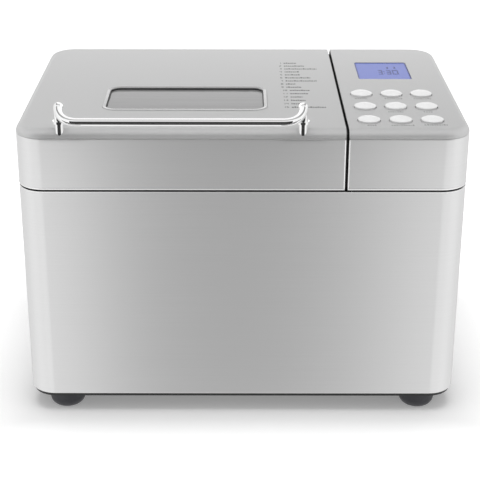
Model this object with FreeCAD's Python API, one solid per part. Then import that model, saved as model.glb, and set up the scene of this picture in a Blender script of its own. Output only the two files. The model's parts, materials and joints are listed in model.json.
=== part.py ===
import FreeCAD, Part
import math
import os

# Bread machine with a hinged lid, a fixed control pod beside it and a belt-driven kneader.
# Millimetres, +Z up, +X to the right of someone facing the front, the front towards -Y.
# The origin lies on the floor under the middle of the overall box.

# Casing
BODY_WIDTH = 360.0
BODY_DEPTH = 250.0
BODY_HEIGHT = 183.0
CORNER_RADIUS = 22.0
SKIN = 1.5
FIT = 0.2
RUNNING_FIT = 0.04
MOVING_GAP = 0.4
FOOT_HEIGHT = 15.0
FOOT_TOP_DIAMETER = 29.5
FOOT_SOLE_DIAMETER = 20.0
FOOT_SETBACK_X = 30.0
FOOT_SETBACK_Y = 18.5
FOOT_SHOULDER = 8.0
FOOT_STUD_DIAMETER = 9.0
BASE_DROP = 2.0
BASE_FLOOR = 3.0
BASE_RIM_HEIGHT = 14.0
BASE_RIM_WALL = 2.0
BASE_VENT_COUNT = 7
BASE_VENT_SIZE = (4.0, 60.0)
BASE_VENT_PITCH = 9.0
REAR_RETURN = 8.0
REAR_TONGUE = 6.0
REAR_VENT_COUNT = 9
REAR_VENT_SIZE = (3.0, 34.0)
REAR_VENT_PITCH = 7.0
REAR_VENT_HEIGHT = 120.0

# Deck that closes the top of the body around the oven
DECK_RECESS = 1.0
DECK_THICKNESS = 3.0
DECK_SKIRT = 12.0
DECK_SKIRT_WALL = 2.0
WIRE_HOLE_SIZE = (60.0, 120.0)
WIRE_HOLE_CORNER = 5.0

# Lid and control pod
SEAM_GAP = 1.5
BAND_HEIGHT = 42.3
POD_WIDTH = 96.8
POD_GAP = 2.4
CREASE_GAP = 0.8
CREASE_DEPTH = 0.7
EDGE_RADIUS = 6.6
COVER_WALL = 2.5
SPIGOT_WALL = 2.0
SPIGOT_LENGTH = 8.0
STRIP_GAP = 0.5
STRIP_SETBACK = 5.0
STRIP_DROP = 5.0
POD_BASE_INSET = 3.0
POD_BASE_LIP = 5.0
POD_BASE_WALL = 2.5

# Lid window, liner and seal
WINDOW_WIDTH = 130.0
WINDOW_DEPTH = 61.0
WINDOW_SETBACK = 54.0
WINDOW_CORNER = 9.0
WINDOW_OFFSET = 2.2
WINDOW_RECESS = 2.6
BEZEL_WIDTH = 3.0
BEZEL_PROUD = 0.3
GLASS_THICKNESS = 3.0
GLASS_RISE = 1.2
GLASS_GAP = 0.8
LINER_SHEET = 1.0
LINER_LIFT = 1.5
LINER_RISE = 35.0
LINER_REAR_LIP = 1.0
SEAL_WIDTH = 4.0
STEAM_HOLE_DIAMETER = 5.0
STEAM_HOLE_COUNT = 6
STEAM_HOLE_PITCH = 11.0
STEAM_HOLE_INSET = 31.0
STEAM_SLOT_COUNT = 8
STEAM_SLOT_SIZE = (14.0, 3.0)
STEAM_SLOT_PITCH = 18.0
STEAM_SLOT_DROP = 12.0

# Lid handle
HANDLE_SETBACK_X = 35.5
HANDLE_OFFSET = 1.6
HANDLE_ROD = 6.4
HANDLE_REACH = 11.3
HANDLE_ARM_HEIGHT = 17.2
HANDLE_BAR_HEIGHT = 10.0
HANDLE_BEND = 15.0
POST_DIAMETER = 7.8
POST_SETBACK = 4.2
POST_COLLAR_DIAMETER = 10.4
POST_COLLAR_HEIGHT = 2.0
POST_COLLAR_LIFT = 4.5
POST_SCREW_SHIFT = 2.0
POST_SCREW_DIAMETER = 3.0
POST_SCREW_HEAD_DIAMETER = 5.4
POST_SCREW_HEAD = 1.8
POST_SCREW_LENGTH = 9.0
POST_SEAT_DROP = 2.6
POST_BOSS_DIAMETER = 6.4

# Lid hinge
HINGE_INSET = 5.5
HINGE_PIN_DIAMETER = 3.0
HINGE_BARREL_DIAMETER = 6.4
HINGE_SETBACK_X = 50.4
BRACKET_WIDTH = 24.0
BRACKET_CLEARANCE = 2.0
BRACKET_SHEET = 2.0
BRACKET_STEM = 3.0
BRACKET_STEM_SETBACK = 1.5
KNUCKLE_WIDTH = 10.0
LEAF_THICKNESS = 1.4
LEAF_HEIGHT = 24.0
LEAF_CLEARANCE = 4.0

# Control pod: display, buttons and board
CONTROL_OFFSET = 6.0
BUTTON_COLUMNS = 3
BUTTON_ROWS = 3
BUTTON_PITCH_X = 25.2
BUTTON_PITCH_Y = 35.7
BUTTON_SETBACK = 25.3
BUTTON_DIAMETER = 17.6
BUTTON_PROUD = 1.4
BUTTON_DOME = 2.2
BUTTON_GAP = 0.7
BUTTON_FLANGE = 1.2
BUTTON_FLANGE_LIP = 1.6
BUTTON_STEM_DIAMETER = 5.0
BUTTON_TRAVEL = 1.0
DISPLAY_WIDTH = 46.8
DISPLAY_DEPTH = 54.2
DISPLAY_SETBACK = 143.5
DISPLAY_RECESS = 0.5
DISPLAY_CORNER = 1.5
DISPLAY_FRAME = 4.0
BOARD_SHEET = 1.6
BOARD_DROP = 9.0
BOARD_MARGIN = 9.0
BOARD_SETBACK = 12.0
BOARD_DEPTH = 200.0
BOARD_BOSS_DIAMETER = 7.0
BOARD_BOSS_ROWS = (0.5, 2.6)
SWITCH_SIZE = 6.2
SWITCH_HEIGHT = 4.8

# Oven chamber
CHAMBER_MARGIN_X = 23.4
CHAMBER_MARGIN_Y = 32.0
CHAMBER_CORNER = 14.0
CHAMBER_SHEET = 1.0
CHAMBER_FLANGE = 8.0
CHAMBER_CLEARANCE = 44.0

# Heater and temperature sensor
HEATER_DIAMETER = 6.5
HEATER_WALL_GAP = 15.0
HEATER_BEND = 34.0
HEATER_LEG_BEND = 10.0
HEATER_LEG_SPACING = 24.0
HEATER_LEG_LENGTH = 10.0
HEATER_HEIGHT = 18.0
CLIP_WIDTH = 8.0
CLIP_LENGTH = 10.0
SENSOR_DIAMETER = 6.0
SENSOR_LENGTH = 14.0
SENSOR_FLANGE_DIAMETER = 13.0
SENSOR_FLANGE = 2.5
SENSOR_HEIGHT = 58.0
SENSOR_OFFSET = 45.0

# Bread pan, its handle and the kneader
PAN_HEATER_GAP = 10.0
PAN_HEIGHT = 106.0
PAN_CORNER = 28.0
PAN_SHEET = 1.2
PAN_RIM = 3.0
PAN_RIM_HEIGHT = 1.6
PAN_FOOT_DIAMETER = 77.4
PAN_FOOT_HEIGHT = 12.0
PAN_FOOT_WALL = 3.5
PAN_FOOT_DISC = 3.0
BUSH_DIAMETER = 16.0
BUSH_FLANGE_DIAMETER = 22.0
BUSH_FLANGE = 1.8
BUSH_DROP = 7.0
KNEADER_SHAFT_DIAMETER = 8.0
KNEADER_SHAFT_RISE = 26.0
WING_SIZE = (26.0, 6.0, 3.6)
PADDLE_HUB_DIAMETER = 19.0
PADDLE_HUB_HEIGHT = 22.0
PADDLE_LIFT = 0.6
PADDLE_REACH = 42.0
PADDLE_BLADE = 5.0
PADDLE_BLADE_HEIGHT = 18.0
PADDLE_TIP_HEIGHT = 5.0
BAIL_WIRE = 4.0
BAIL_REACH = 44.0
BAIL_BEND = 12.0
BAIL_RISE = 4.5
BAIL_PIN_BEND = 4.0
EAR_WIDTH = 16.0
EAR_SHEET = 2.0
EAR_TAIL = 22.0
EAR_HEAD = 3.2

# Pan mount and drive
MOUNT_DISC_DIAMETER = 116.0
MOUNT_DISC = 3.0
MOUNT_RING_WALL = 4.0
MOUNT_RING_HEIGHT = 9.0
MOUNT_HOLE_CLEARANCE = 2.0
MOUNT_SCREW_CIRCLE = 102.0
MOUNT_SCREW_COUNT = 4
HOUSING_FLANGE_DIAMETER = 66.0
HOUSING_FLANGE = 4.0
HOUSING_BODY_DIAMETER = 42.0
HOUSING_SPIGOT_DIAMETER = 28.0
HOUSING_SPIGOT = 1.6
BEARING_OUTER_DIAMETER = 14.0
BEARING_LENGTH = 8.0
DRIVE_SHAFT_DIAMETER = 8.0
DOG_DIAMETER = 30.0
DOG_DISC = 2.4
DOG_LUG_DIAMETER = 5.0
DOG_LUG_CIRCLE = 20.0
DOG_LUG_RISE = 3.8
CHASSIS_SHEET = 2.0
CHASSIS_CLEARANCE = 23.0
CHASSIS_INSET = 12.0
CHASSIS_HOLE_DIAMETER = 24.0
STANDOFF_DIAMETER = 11.0
STANDOFF_INSET_X = 30.0
STANDOFF_INSET_Y = 30.0
PULLEY_DIAMETER = 84.0
MOTOR_PULLEY_DIAMETER = 16.0
PULLEY_FLANGE = 1.5
PULLEY_FLANGE_LIP = 2.5
PULLEY_HUB_DIAMETER = 22.0
PULLEY_WEB = 4.0
PULLEY_RIM = 5.0
BELT_WIDTH = 8.0
BELT_SIDE_GAP = 0.5
BELT_THICKNESS = 1.8
BELT_CLEARANCE = 0.3
PULLEY_DROP = 4.0
SHAFT_TAIL = 3.0

# Motor, capacitor, power board and cord entry
MOTOR_WALL_GAP = 7.0
MOTOR_DIAMETER = 78.0
MOTOR_STACK = 32.0
MOTOR_CAP = 13.0
MOTOR_CAP_WALL = 3.0
MOTOR_SHAFT_DIAMETER = 8.0
MOTOR_BOSS_DIAMETER = 20.0
ROTOR_DIAMETER = 42.0
ROTOR_GAP = 0.5
CAPACITOR_DIAMETER = 32.0
CAPACITOR_HEIGHT = 58.0
CAPACITOR_SETBACK = 47.0
POWER_BOARD_SIZE = (72.0, 46.0)
POWER_BOARD_SETBACK = 45.0
POWER_BOARD_LIFT = 6.0
TRANSFORMER_SIZE = (34.0, 30.0, 28.0)
RELAY_SIZE = (18.0, 22.0, 16.0)
GLAND_BORE = 8.0
GLAND_DIAMETER = 13.0
GLAND_FLANGE_DIAMETER = 20.0
GLAND_FLANGE = 2.0
GLAND_LENGTH = 12.0
GLAND_HEIGHT = 45.0

# Screws
SCREW_DIAMETER = 4.0
SCREW_HEAD_DIAMETER = 7.0
SCREW_HEAD = 2.2
SCREW_LENGTH = 8.0

# Levels and places worked out from the sizes above
HANDLE_OVERHANG = HANDLE_REACH + HANDLE_ROD / 2
X_LEFT = -BODY_WIDTH / 2
X_RIGHT = BODY_WIDTH / 2
Y_FRONT = -(HANDLE_OVERHANG + BODY_DEPTH + GLAND_FLANGE) / 2 + HANDLE_OVERHANG
Y_REAR = Y_FRONT + BODY_DEPTH
Y_MID = (Y_FRONT + Y_REAR) / 2
REAR_HALF = BODY_WIDTH / 2 - CORNER_RADIUS - REAR_RETURN
Z_BASE = FOOT_HEIGHT
Z_BODY = Z_BASE + BASE_DROP
Z_SEAM = Z_BODY + BODY_HEIGHT
Z_DECK = Z_SEAM - DECK_RECESS
Z_LID = Z_SEAM + SEAM_GAP
Z_CREASE = Z_LID + BAND_HEIGHT
Z_COVER = Z_CREASE + CREASE_GAP
Z_TOP = Z_COVER + EDGE_RADIUS
Z_INNER = Z_TOP - COVER_WALL
POD_LEFT = X_RIGHT - POD_WIDTH
POD_X = (POD_LEFT + X_RIGHT) / 2
LID_RIGHT = POD_LEFT - POD_GAP
LID_X = (X_LEFT + LID_RIGHT) / 2
CHAMBER_WIDTH = LID_RIGHT - X_LEFT - 2 * CHAMBER_MARGIN_X
CHAMBER_DEPTH = BODY_DEPTH - 2 * CHAMBER_MARGIN_Y
CHAMBER_LIP = CHAMBER_SHEET + CHAMBER_FLANGE
LIP_REAR = Y_MID + CHAMBER_DEPTH / 2 + CHAMBER_LIP
HEATER_WIDTH = CHAMBER_WIDTH - 2 * HEATER_WALL_GAP
HEATER_DEPTH = CHAMBER_DEPTH - 2 * HEATER_WALL_GAP
PAN_WIDTH = HEATER_WIDTH - HEATER_DIAMETER - 2 * PAN_HEATER_GAP
PAN_DEPTH = HEATER_DEPTH - HEATER_DIAMETER - 2 * PAN_HEATER_GAP
HINGE_Y = Y_REAR - HINGE_INSET
HINGE_Z = Z_LID + HINGE_INSET
BRACKET_REAR = HINGE_Y - BRACKET_STEM_SETBACK
BRACKET_FRONT = LIP_REAR + BRACKET_CLEARANCE
Z_CHASSIS = Z_BASE + BASE_FLOOR + CHASSIS_CLEARANCE
Z_CHASSIS_TOP = Z_CHASSIS + CHASSIS_SHEET
Z_OVEN = Z_BASE + BASE_FLOOR + CHAMBER_CLEARANCE
Z_OVEN_FLOOR = Z_OVEN + CHAMBER_SHEET
Z_PAN_SEAT = Z_OVEN_FLOOR + MOUNT_DISC
Z_PAN = Z_PAN_SEAT + PAN_FOOT_HEIGHT
Z_RIM = Z_PAN + PAN_HEIGHT
Z_LINER = Z_LID + LINER_LIFT
Z_CEILING = Z_LINER + LINER_RISE
Z_PULLEY_TOP = Z_CHASSIS - PULLEY_DROP
PULLEY_GROOVE = BELT_WIDTH + 2 * BELT_SIDE_GAP
Z_PULLEY = Z_PULLEY_TOP - PULLEY_GROOVE - 2 * PULLEY_FLANGE
MOTOR_X = X_RIGHT - MOTOR_WALL_GAP - MOTOR_DIAMETER / 2
MOTOR_TOP = Z_CHASSIS_TOP + 2 * MOTOR_CAP + MOTOR_STACK
CONTROL_X = POD_X - CONTROL_OFFSET
Z_BOARD = Z_INNER - BOARD_DROP
POWER_BOARD_Y = Y_REAR - POWER_BOARD_SETBACK
Z_POWER_BOARD = Z_CHASSIS_TOP + POWER_BOARD_LIFT
DISPLAY_Y = Y_FRONT + DISPLAY_SETBACK + DISPLAY_DEPTH / 2
WINDOW_X = LID_X + WINDOW_OFFSET
WINDOW_Y = Y_FRONT + WINDOW_SETBACK + WINDOW_DEPTH / 2
GLAND_Z = Z_BODY + GLAND_HEIGHT
GLAND_HOLE = GLAND_DIAMETER + 2 * FIT
SCREW_HOLE = SCREW_DIAMETER + 2 * FIT
POST_Y = Y_FRONT + POST_SETBACK
POST_SCREW_Y = POST_Y + POST_SCREW_SHIFT
Z_POST_SEAT = Z_INNER - POST_SEAT_DROP
Z_GLASS = Z_TOP - WINDOW_RECESS
Z_HOUSING = Z_OVEN + HOUSING_SPIGOT
Z_DOG = Z_HOUSING + MOVING_GAP
HEATER_Z = Z_OVEN_FLOOR + HEATER_HEIGHT
SENSOR_Y = Y_MID + SENSOR_OFFSET
SENSOR_Z = Z_OVEN_FLOOR + SENSOR_HEIGHT
EAR_FACE = PAN_WIDTH / 2 - PAN_SHEET - EAR_SHEET
BAIL_Z = Z_RIM + BAIL_RISE
PAST = 5.0

V = FreeCAD.Vector
AXIS_X = V(1, 0, 0)
AXIS_Y = V(0, 1, 0)
AXIS_Z = V(0, 0, 1)


def box(x0, x1, y0, y1, z0, z1):
    return Part.makeBox(x1 - x0, y1 - y0, z1 - z0, V(x0, y0, z0))


def block(x, y, width, depth, z0, z1):
    """A box centred on x and y."""
    return box(x - width / 2, x + width / 2, y - depth / 2, y + depth / 2, z0, z1)


def cylinder(x, y, z0, z1, diameter):
    return Part.makeCylinder(diameter / 2, z1 - z0, V(x, y, z0), AXIS_Z)


def rod_x(x0, x1, y, z, diameter):
    return Part.makeCylinder(diameter / 2, x1 - x0, V(x0, y, z), AXIS_X)


def rod_y(x, y0, y1, z, diameter):
    return Part.makeCylinder(diameter / 2, y1 - y0, V(x, y0, z), AXIS_Y)


def fuse(shapes):
    joined = shapes[0]
    for shape in shapes[1:]:
        joined = joined.fuse(shape)
    return joined.removeSplitter()


def cut(shape, tools):
    for tool in tools:
        shape = shape.cut(tool)
    return shape


def rounded_wire(x0, x1, y0, y1, radius, z):
    """A rectangle with four rounded corners."""
    mid = radius * (1 - math.sqrt(0.5))
    edges = [
        Part.makeLine(V(x0 + radius, y0, z), V(x1 - radius, y0, z)),
        Part.Arc(V(x1 - radius, y0, z), V(x1 - mid, y0 + mid, z), V(x1, y0 + radius, z)).toShape(),
        Part.makeLine(V(x1, y0 + radius, z), V(x1, y1 - radius, z)),
        Part.Arc(V(x1, y1 - radius, z), V(x1 - mid, y1 - mid, z), V(x1 - radius, y1, z)).toShape(),
        Part.makeLine(V(x1 - radius, y1, z), V(x0 + radius, y1, z)),
        Part.Arc(V(x0 + radius, y1, z), V(x0 + mid, y1 - mid, z), V(x0, y1 - radius, z)).toShape(),
        Part.makeLine(V(x0, y1 - radius, z), V(x0, y0 + radius, z)),
        Part.Arc(V(x0, y0 + radius, z), V(x0 + mid, y0 + mid, z), V(x0 + radius, y0, z)).toShape(),
    ]
    return Part.Wire(edges)


def rounded_prism(x, y, width, depth, radius, z0, z1):
    """A block with rounded upright corners, centred on x and y."""
    wire = rounded_wire(x - width / 2, x + width / 2, y - depth / 2, y + depth / 2, radius, z0)
    return Part.Face(wire).extrude(V(0, 0, z1 - z0))


def sweep_rod(path, start, direction, diameter):
    """A round rod along a path of edges."""
    profile = Part.Wire([Part.Circle(start, direction, diameter / 2).toShape()])
    return Part.Wire(path).makePipeShell([profile], True, False)


def corner_arc(start, corner, end, radius):
    """The quarter-turn that rounds a right-angled corner of a path, with its two ends."""
    into = (corner - start).normalize()
    out = (end - corner).normalize()
    first = corner - into * radius
    last = corner + out * radius
    middle = corner + (out - into) * (radius * (1 - math.sqrt(0.5)))
    return first, Part.Arc(first, middle, last).toShape(), last


def bent_path(points, radii):
    """Straight stretches through the points, with each inner corner rounded by its radius."""
    edges = []
    place = points[0]
    for index, radius in enumerate(radii, start=1):
        first, arc, last = corner_arc(points[index - 1], points[index], points[index + 1], radius)
        edges += [Part.makeLine(place, first), arc]
        place = last
    edges.append(Part.makeLine(place, points[-1]))
    return edges


def screw(x, y, z, up=False):
    """A pan-head screw whose head rests on the level z, its shank downwards, or upwards if up."""
    if up:
        head = cylinder(x, y, z - SCREW_HEAD, z, SCREW_HEAD_DIAMETER)
        return head.fuse(cylinder(x, y, z, z + SCREW_LENGTH, SCREW_DIAMETER)).removeSplitter()
    head = cylinder(x, y, z, z + SCREW_HEAD, SCREW_HEAD_DIAMETER)
    return head.fuse(cylinder(x, y, z - SCREW_LENGTH, z, SCREW_DIAMETER)).removeSplitter()


def plan(inset, z0, z1):
    """The casing's rounded outline, drawn in by an inset."""
    width = BODY_WIDTH - 2 * inset
    depth = BODY_DEPTH - 2 * inset
    return rounded_prism(0, Y_MID, width, depth, CORNER_RADIUS - inset, z0, z1)


def dome_plan(inset, z0, z1):
    """The casing's outline with its top edge rounded."""
    radius = EDGE_RADIUS - inset
    block = plan(inset, z0 - EDGE_RADIUS, z1)
    rim = [edge for edge in block.Edges if edge.BoundBox.ZMin > z1 - radius / 2]
    block = block.makeFillet(radius, rim)
    return block.cut(plan(-PAST, z0 - EDGE_RADIUS - PAST, z0))


def side_of(shape, side, inset):
    """The share of a shape that belongs to the lid or to the pod, drawn in by an inset at the gap."""
    bounds = shape.BoundBox
    low, high = bounds.XMin - PAST, bounds.XMax + PAST
    if side == "lid":
        high = LID_RIGHT - inset
    if side == "pod":
        low = POD_LEFT + inset
    window = box(low, high, bounds.YMin - PAST, bounds.YMax + PAST, bounds.ZMin - PAST, bounds.ZMax + PAST)
    return shape.common(window)


def ring(side, outer, inner, z0, z1):
    """An upright wall between two insets of the outline of the lid, the pod or the body."""
    wall = side_of(plan(outer, z0, z1), side, outer)
    return wall.cut(side_of(plan(inner, z0 - PAST, z1 + PAST), side, inner))


def cover(side):
    """A moulded top with a rounded edge, a shadow groove under it and a spigot inside the band."""
    cap = side_of(dome_plan(0, Z_COVER, Z_TOP), side, 0)
    hollow = side_of(dome_plan(COVER_WALL, Z_COVER - PAST, Z_INNER), side, COVER_WALL)
    spigot = SKIN + FIT
    neck = ring(side, CREASE_DEPTH, spigot + SPIGOT_WALL, Z_CREASE, Z_COVER)
    tongue = ring(side, spigot, spigot + SPIGOT_WALL, Z_CREASE - SPIGOT_LENGTH, Z_COVER)
    return fuse([cap.cut(hollow), neck, tongue])


def foot_places():
    for x in (X_LEFT + FOOT_SETBACK_X, X_RIGHT - FOOT_SETBACK_X):
        for y in (Y_FRONT + FOOT_SETBACK_Y, Y_REAR - FOOT_SETBACK_Y):
            yield x, y


def standoff_places():
    for x in (X_LEFT + STANDOFF_INSET_X, X_RIGHT - STANDOFF_INSET_X):
        for y in (Y_FRONT + STANDOFF_INSET_Y, Y_REAR - STANDOFF_INSET_Y):
            yield x, y


def mount_screw_places():
    reach = MOUNT_SCREW_CIRCLE / 2
    for turn in range(MOUNT_SCREW_COUNT):
        angle = math.pi * (2 * turn + 1) / MOUNT_SCREW_COUNT
        yield LID_X + reach * math.cos(angle), Y_MID + reach * math.sin(angle)


def hinge_places():
    return X_LEFT + HINGE_SETBACK_X, LID_RIGHT - HINGE_SETBACK_X


def hinge_screw_places():
    y = (BRACKET_FRONT + BRACKET_REAR - BRACKET_STEM) / 2
    for x in hinge_places():
        for side in (-1, 1):
            yield x + side * BRACKET_WIDTH / 4, y


def board_screw_places():
    for side in (-1, 1):
        for row in BOARD_BOSS_ROWS:
            x = CONTROL_X + side * BUTTON_PITCH_X
            yield x, Y_FRONT + BUTTON_SETBACK + row * BUTTON_PITCH_Y


def post_places():
    return X_LEFT + HANDLE_SETBACK_X + HANDLE_OFFSET, LID_RIGHT - HANDLE_SETBACK_X + HANDLE_OFFSET


def power_board_places():
    width, depth = POWER_BOARD_SIZE
    inset = SCREW_HEAD_DIAMETER
    for x in (MOTOR_X - width / 2 + inset / 2, MOTOR_X + width / 2 - inset / 2):
        for y in (POWER_BOARD_Y - depth / 2 + inset / 2, POWER_BOARD_Y + depth / 2 - inset / 2):
            yield x, y


def bearing_levels():
    return Z_CHASSIS_TOP, Z_HOUSING - BEARING_LENGTH


def button_places():
    for row in range(BUTTON_ROWS):
        for column in range(BUTTON_COLUMNS):
            x = CONTROL_X + (column - (BUTTON_COLUMNS - 1) / 2) * BUTTON_PITCH_X
            y = Y_FRONT + BUTTON_SETBACK + row * BUTTON_PITCH_Y
            yield row * BUTTON_COLUMNS + column + 1, x, y


def body_wrap():
    """The sheet bent round the front, the sides and the corners, open between its returns at the rear."""
    opening = block(0, Y_REAR, 2 * REAR_HALF, 2 * PAST, Z_BODY, Z_SEAM)
    return ring("body", 0, SKIN, Z_BODY, Z_SEAM).cut(opening)


def rear_panel():
    """The flat panel between the returns of the wrap, with a tongue behind each return."""
    inside = Y_REAR - SKIN
    half = REAR_HALF - FIT
    pieces = [box(-half, half, inside, Y_REAR, Z_BODY, Z_SEAM)]
    low = Z_BASE + BASE_RIM_HEIGHT + FIT
    high = Z_DECK - DECK_SKIRT - FIT
    for side in (-1, 1):
        tongue_x = side * REAR_HALF
        pieces.append(block(tongue_x, inside - FIT - SKIN / 2, 2 * REAR_TONGUE, SKIN, low, high))
        web_x = side * (half - REAR_TONGUE / 2)
        pieces.append(block(web_x, inside - FIT, REAR_TONGUE, 2 * FIT, low, high))
    width, height = REAR_VENT_SIZE
    vent = Z_BODY + REAR_VENT_HEIGHT - height / 2
    holes = [rod_y(MOTOR_X, inside, Y_REAR, GLAND_Z, GLAND_HOLE)]
    for index in range(REAR_VENT_COUNT):
        x = MOTOR_X + (index - (REAR_VENT_COUNT - 1) / 2) * REAR_VENT_PITCH
        holes.append(block(x, Y_REAR, width, 2 * PAST, vent, vent + height))
    return cut(fuse(pieces), holes)


def base_plate():
    edge = SKIN + FIT
    floor = plan(edge, Z_BASE, Z_BASE + BASE_FLOOR)
    rim = ring("body", edge, edge + BASE_RIM_WALL, Z_BASE, Z_BASE + BASE_RIM_HEIGHT)
    pillars = []
    holes = []
    for x, y in standoff_places():
        pillars.append(cylinder(x, y, Z_BASE, Z_CHASSIS, STANDOFF_DIAMETER))
        holes.append(cylinder(x, y, Z_CHASSIS_TOP - SCREW_LENGTH, Z_CHASSIS, SCREW_DIAMETER))
    for x, y in foot_places():
        holes.append(cylinder(x, y, Z_BASE, Z_BASE + BASE_FLOOR, FOOT_STUD_DIAMETER))
    for index in range(BASE_VENT_COUNT):
        x = MOTOR_X + (index - (BASE_VENT_COUNT - 1) / 2) * BASE_VENT_PITCH
        holes.append(block(x, Y_MID, *BASE_VENT_SIZE, Z_BASE, Z_BASE + BASE_FLOOR))
    return cut(fuse([floor, rim] + pillars), holes)


def rubber_foot(x, y):
    """A foot with a flat sole that swells to a wider top, held by a stud through the base."""
    sole = FOOT_SOLE_DIAMETER / 2
    top = FOOT_TOP_DIAMETER / 2
    turn = math.sqrt(0.5)
    bulge = V(sole + (top - sole) * turn, 0, FOOT_SHOULDER * (1 - turn))
    middle = V(0, 0, 0)
    heel = V(sole, 0, 0)
    shoulder = V(top, 0, FOOT_SHOULDER)
    brim = V(top, 0, FOOT_HEIGHT)
    crown = V(0, 0, FOOT_HEIGHT)
    edges = [
        Part.makeLine(middle, heel),
        Part.Arc(heel, bulge, shoulder).toShape(),
        Part.makeLine(shoulder, brim),
        Part.makeLine(brim, crown),
        Part.makeLine(crown, middle),
    ]
    foot = Part.Face(Part.Wire(edges)).revolve(middle, AXIS_Z, 360)
    foot.translate(V(x, y, 0))
    return fuse([foot, cylinder(x, y, FOOT_HEIGHT, FOOT_HEIGHT + BASE_FLOOR, FOOT_STUD_DIAMETER)])


def rubber_feet():
    return Part.makeCompound([rubber_foot(x, y) for x, y in foot_places()])


def chassis():
    sheet = plan(CHASSIS_INSET, Z_CHASSIS, Z_CHASSIS_TOP)
    bosses = []
    holes = []
    for x in (LID_X, MOTOR_X):
        holes.append(cylinder(x, Y_MID, Z_CHASSIS, Z_CHASSIS_TOP, CHASSIS_HOLE_DIAMETER))
    for x, y in standoff_places():
        holes.append(cylinder(x, y, Z_CHASSIS, Z_CHASSIS_TOP, SCREW_HOLE))
    for x, y in power_board_places():
        bosses.append(cylinder(x, y, Z_CHASSIS, Z_POWER_BOARD, SCREW_HEAD_DIAMETER))
        holes.append(cylinder(x, y, Z_CHASSIS, Z_POWER_BOARD, SCREW_DIAMETER))
    return cut(fuse([sheet] + bosses), holes)


def oven_block(margin, z0, z1):
    """The rounded outline of the oven's hollow, grown by a margin."""
    width = CHAMBER_WIDTH + 2 * margin
    depth = CHAMBER_DEPTH + 2 * margin
    return rounded_prism(LID_X, Y_MID, width, depth, CHAMBER_CORNER + margin, z0, z1)


def deck():
    edge = SKIN + FIT
    under = Z_DECK - DECK_THICKNESS
    plate = plan(edge, under, Z_DECK)
    skirt = ring("body", edge, edge + DECK_SKIRT_WALL, Z_DECK - DECK_SKIRT, Z_DECK)
    mouth = oven_block(CHAMBER_SHEET + FIT, under, Z_DECK)
    wires = rounded_prism(POD_X, Y_MID, *WIRE_HOLE_SIZE, WIRE_HOLE_CORNER, under, Z_DECK)
    bores = [cylinder(x, y, under, Z_DECK, SCREW_DIAMETER) for x, y in hinge_screw_places()]
    return cut(fuse([plate, skirt]), [mouth, wires] + bores)


def gap_strip():
    """A thin dark strip standing on the deck, which closes the view through the gap beside the lid."""
    left = LID_RIGHT + STRIP_GAP
    right = POD_LEFT - STRIP_GAP
    return box(left, right, Y_FRONT + STRIP_SETBACK, Y_REAR - STRIP_SETBACK, Z_DECK, Z_TOP - STRIP_DROP)


def oven_chamber():
    lip = Z_DECK + CHAMBER_SHEET
    pot = oven_block(CHAMBER_SHEET, Z_OVEN, lip)
    flange = oven_block(CHAMBER_LIP, Z_DECK, lip)
    hollow = oven_block(0, Z_OVEN_FLOOR, lip)
    wall_x = LID_X + CHAMBER_WIDTH / 2
    holes = [cylinder(LID_X, Y_MID, Z_OVEN, Z_OVEN_FLOOR, HOUSING_SPIGOT_DIAMETER + 2 * FIT)]
    holes += [cylinder(x, y, Z_OVEN, Z_OVEN_FLOOR, SCREW_HOLE) for x, y in mount_screw_places()]
    for side in (-1, 1):
        y = Y_MID + side * HEATER_LEG_SPACING / 2
        holes.append(rod_x(wall_x, wall_x + CHAMBER_SHEET, y, HEATER_Z, HEATER_DIAMETER + 2 * FIT))
    holes.append(rod_x(wall_x, wall_x + CHAMBER_SHEET, SENSOR_Y, SENSOR_Z, SENSOR_DIAMETER + 2 * FIT))
    return cut(fuse([pot, flange]), [hollow] + holes)


def heating_element():
    """A sheathed heater that runs round the foot of the pan, both ends through the right wall."""
    x = HEATER_WIDTH / 2
    y = HEATER_DEPTH / 2
    leg = HEATER_LEG_SPACING / 2
    end = CHAMBER_WIDTH / 2 + CHAMBER_SHEET + HEATER_LEG_LENGTH
    corners = [(end, -leg), (x, -leg), (x, -y), (-x, -y), (-x, y), (x, y), (x, leg), (end, leg)]
    points = [V(LID_X + px, Y_MID + py, HEATER_Z) for px, py in corners]
    bends = [HEATER_LEG_BEND] + 4 * [HEATER_BEND] + [HEATER_LEG_BEND]
    return sweep_rod(bent_path(points, bends), points[0], AXIS_X, HEATER_DIAMETER)


def heater_clips():
    tube = heating_element()
    saddles = [block(LID_X - HEATER_WIDTH / 2, Y_MID, CLIP_LENGTH, CLIP_WIDTH, Z_OVEN_FLOOR, HEATER_Z)]
    for y in (Y_MID - HEATER_DEPTH / 2, Y_MID + HEATER_DEPTH / 2):
        saddles.append(block(LID_X, y, CLIP_WIDTH, CLIP_LENGTH, Z_OVEN_FLOOR, HEATER_Z))
    return Part.makeCompound([saddle.cut(tube) for saddle in saddles])


def temperature_sensor():
    wall = LID_X + CHAMBER_WIDTH / 2 + CHAMBER_SHEET
    probe = rod_x(wall - SENSOR_LENGTH, wall, SENSOR_Y, SENSOR_Z, SENSOR_DIAMETER)
    return fuse([probe, rod_x(wall, wall + SENSOR_FLANGE, SENSOR_Y, SENSOR_Z, SENSOR_FLANGE_DIAMETER)])


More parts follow.
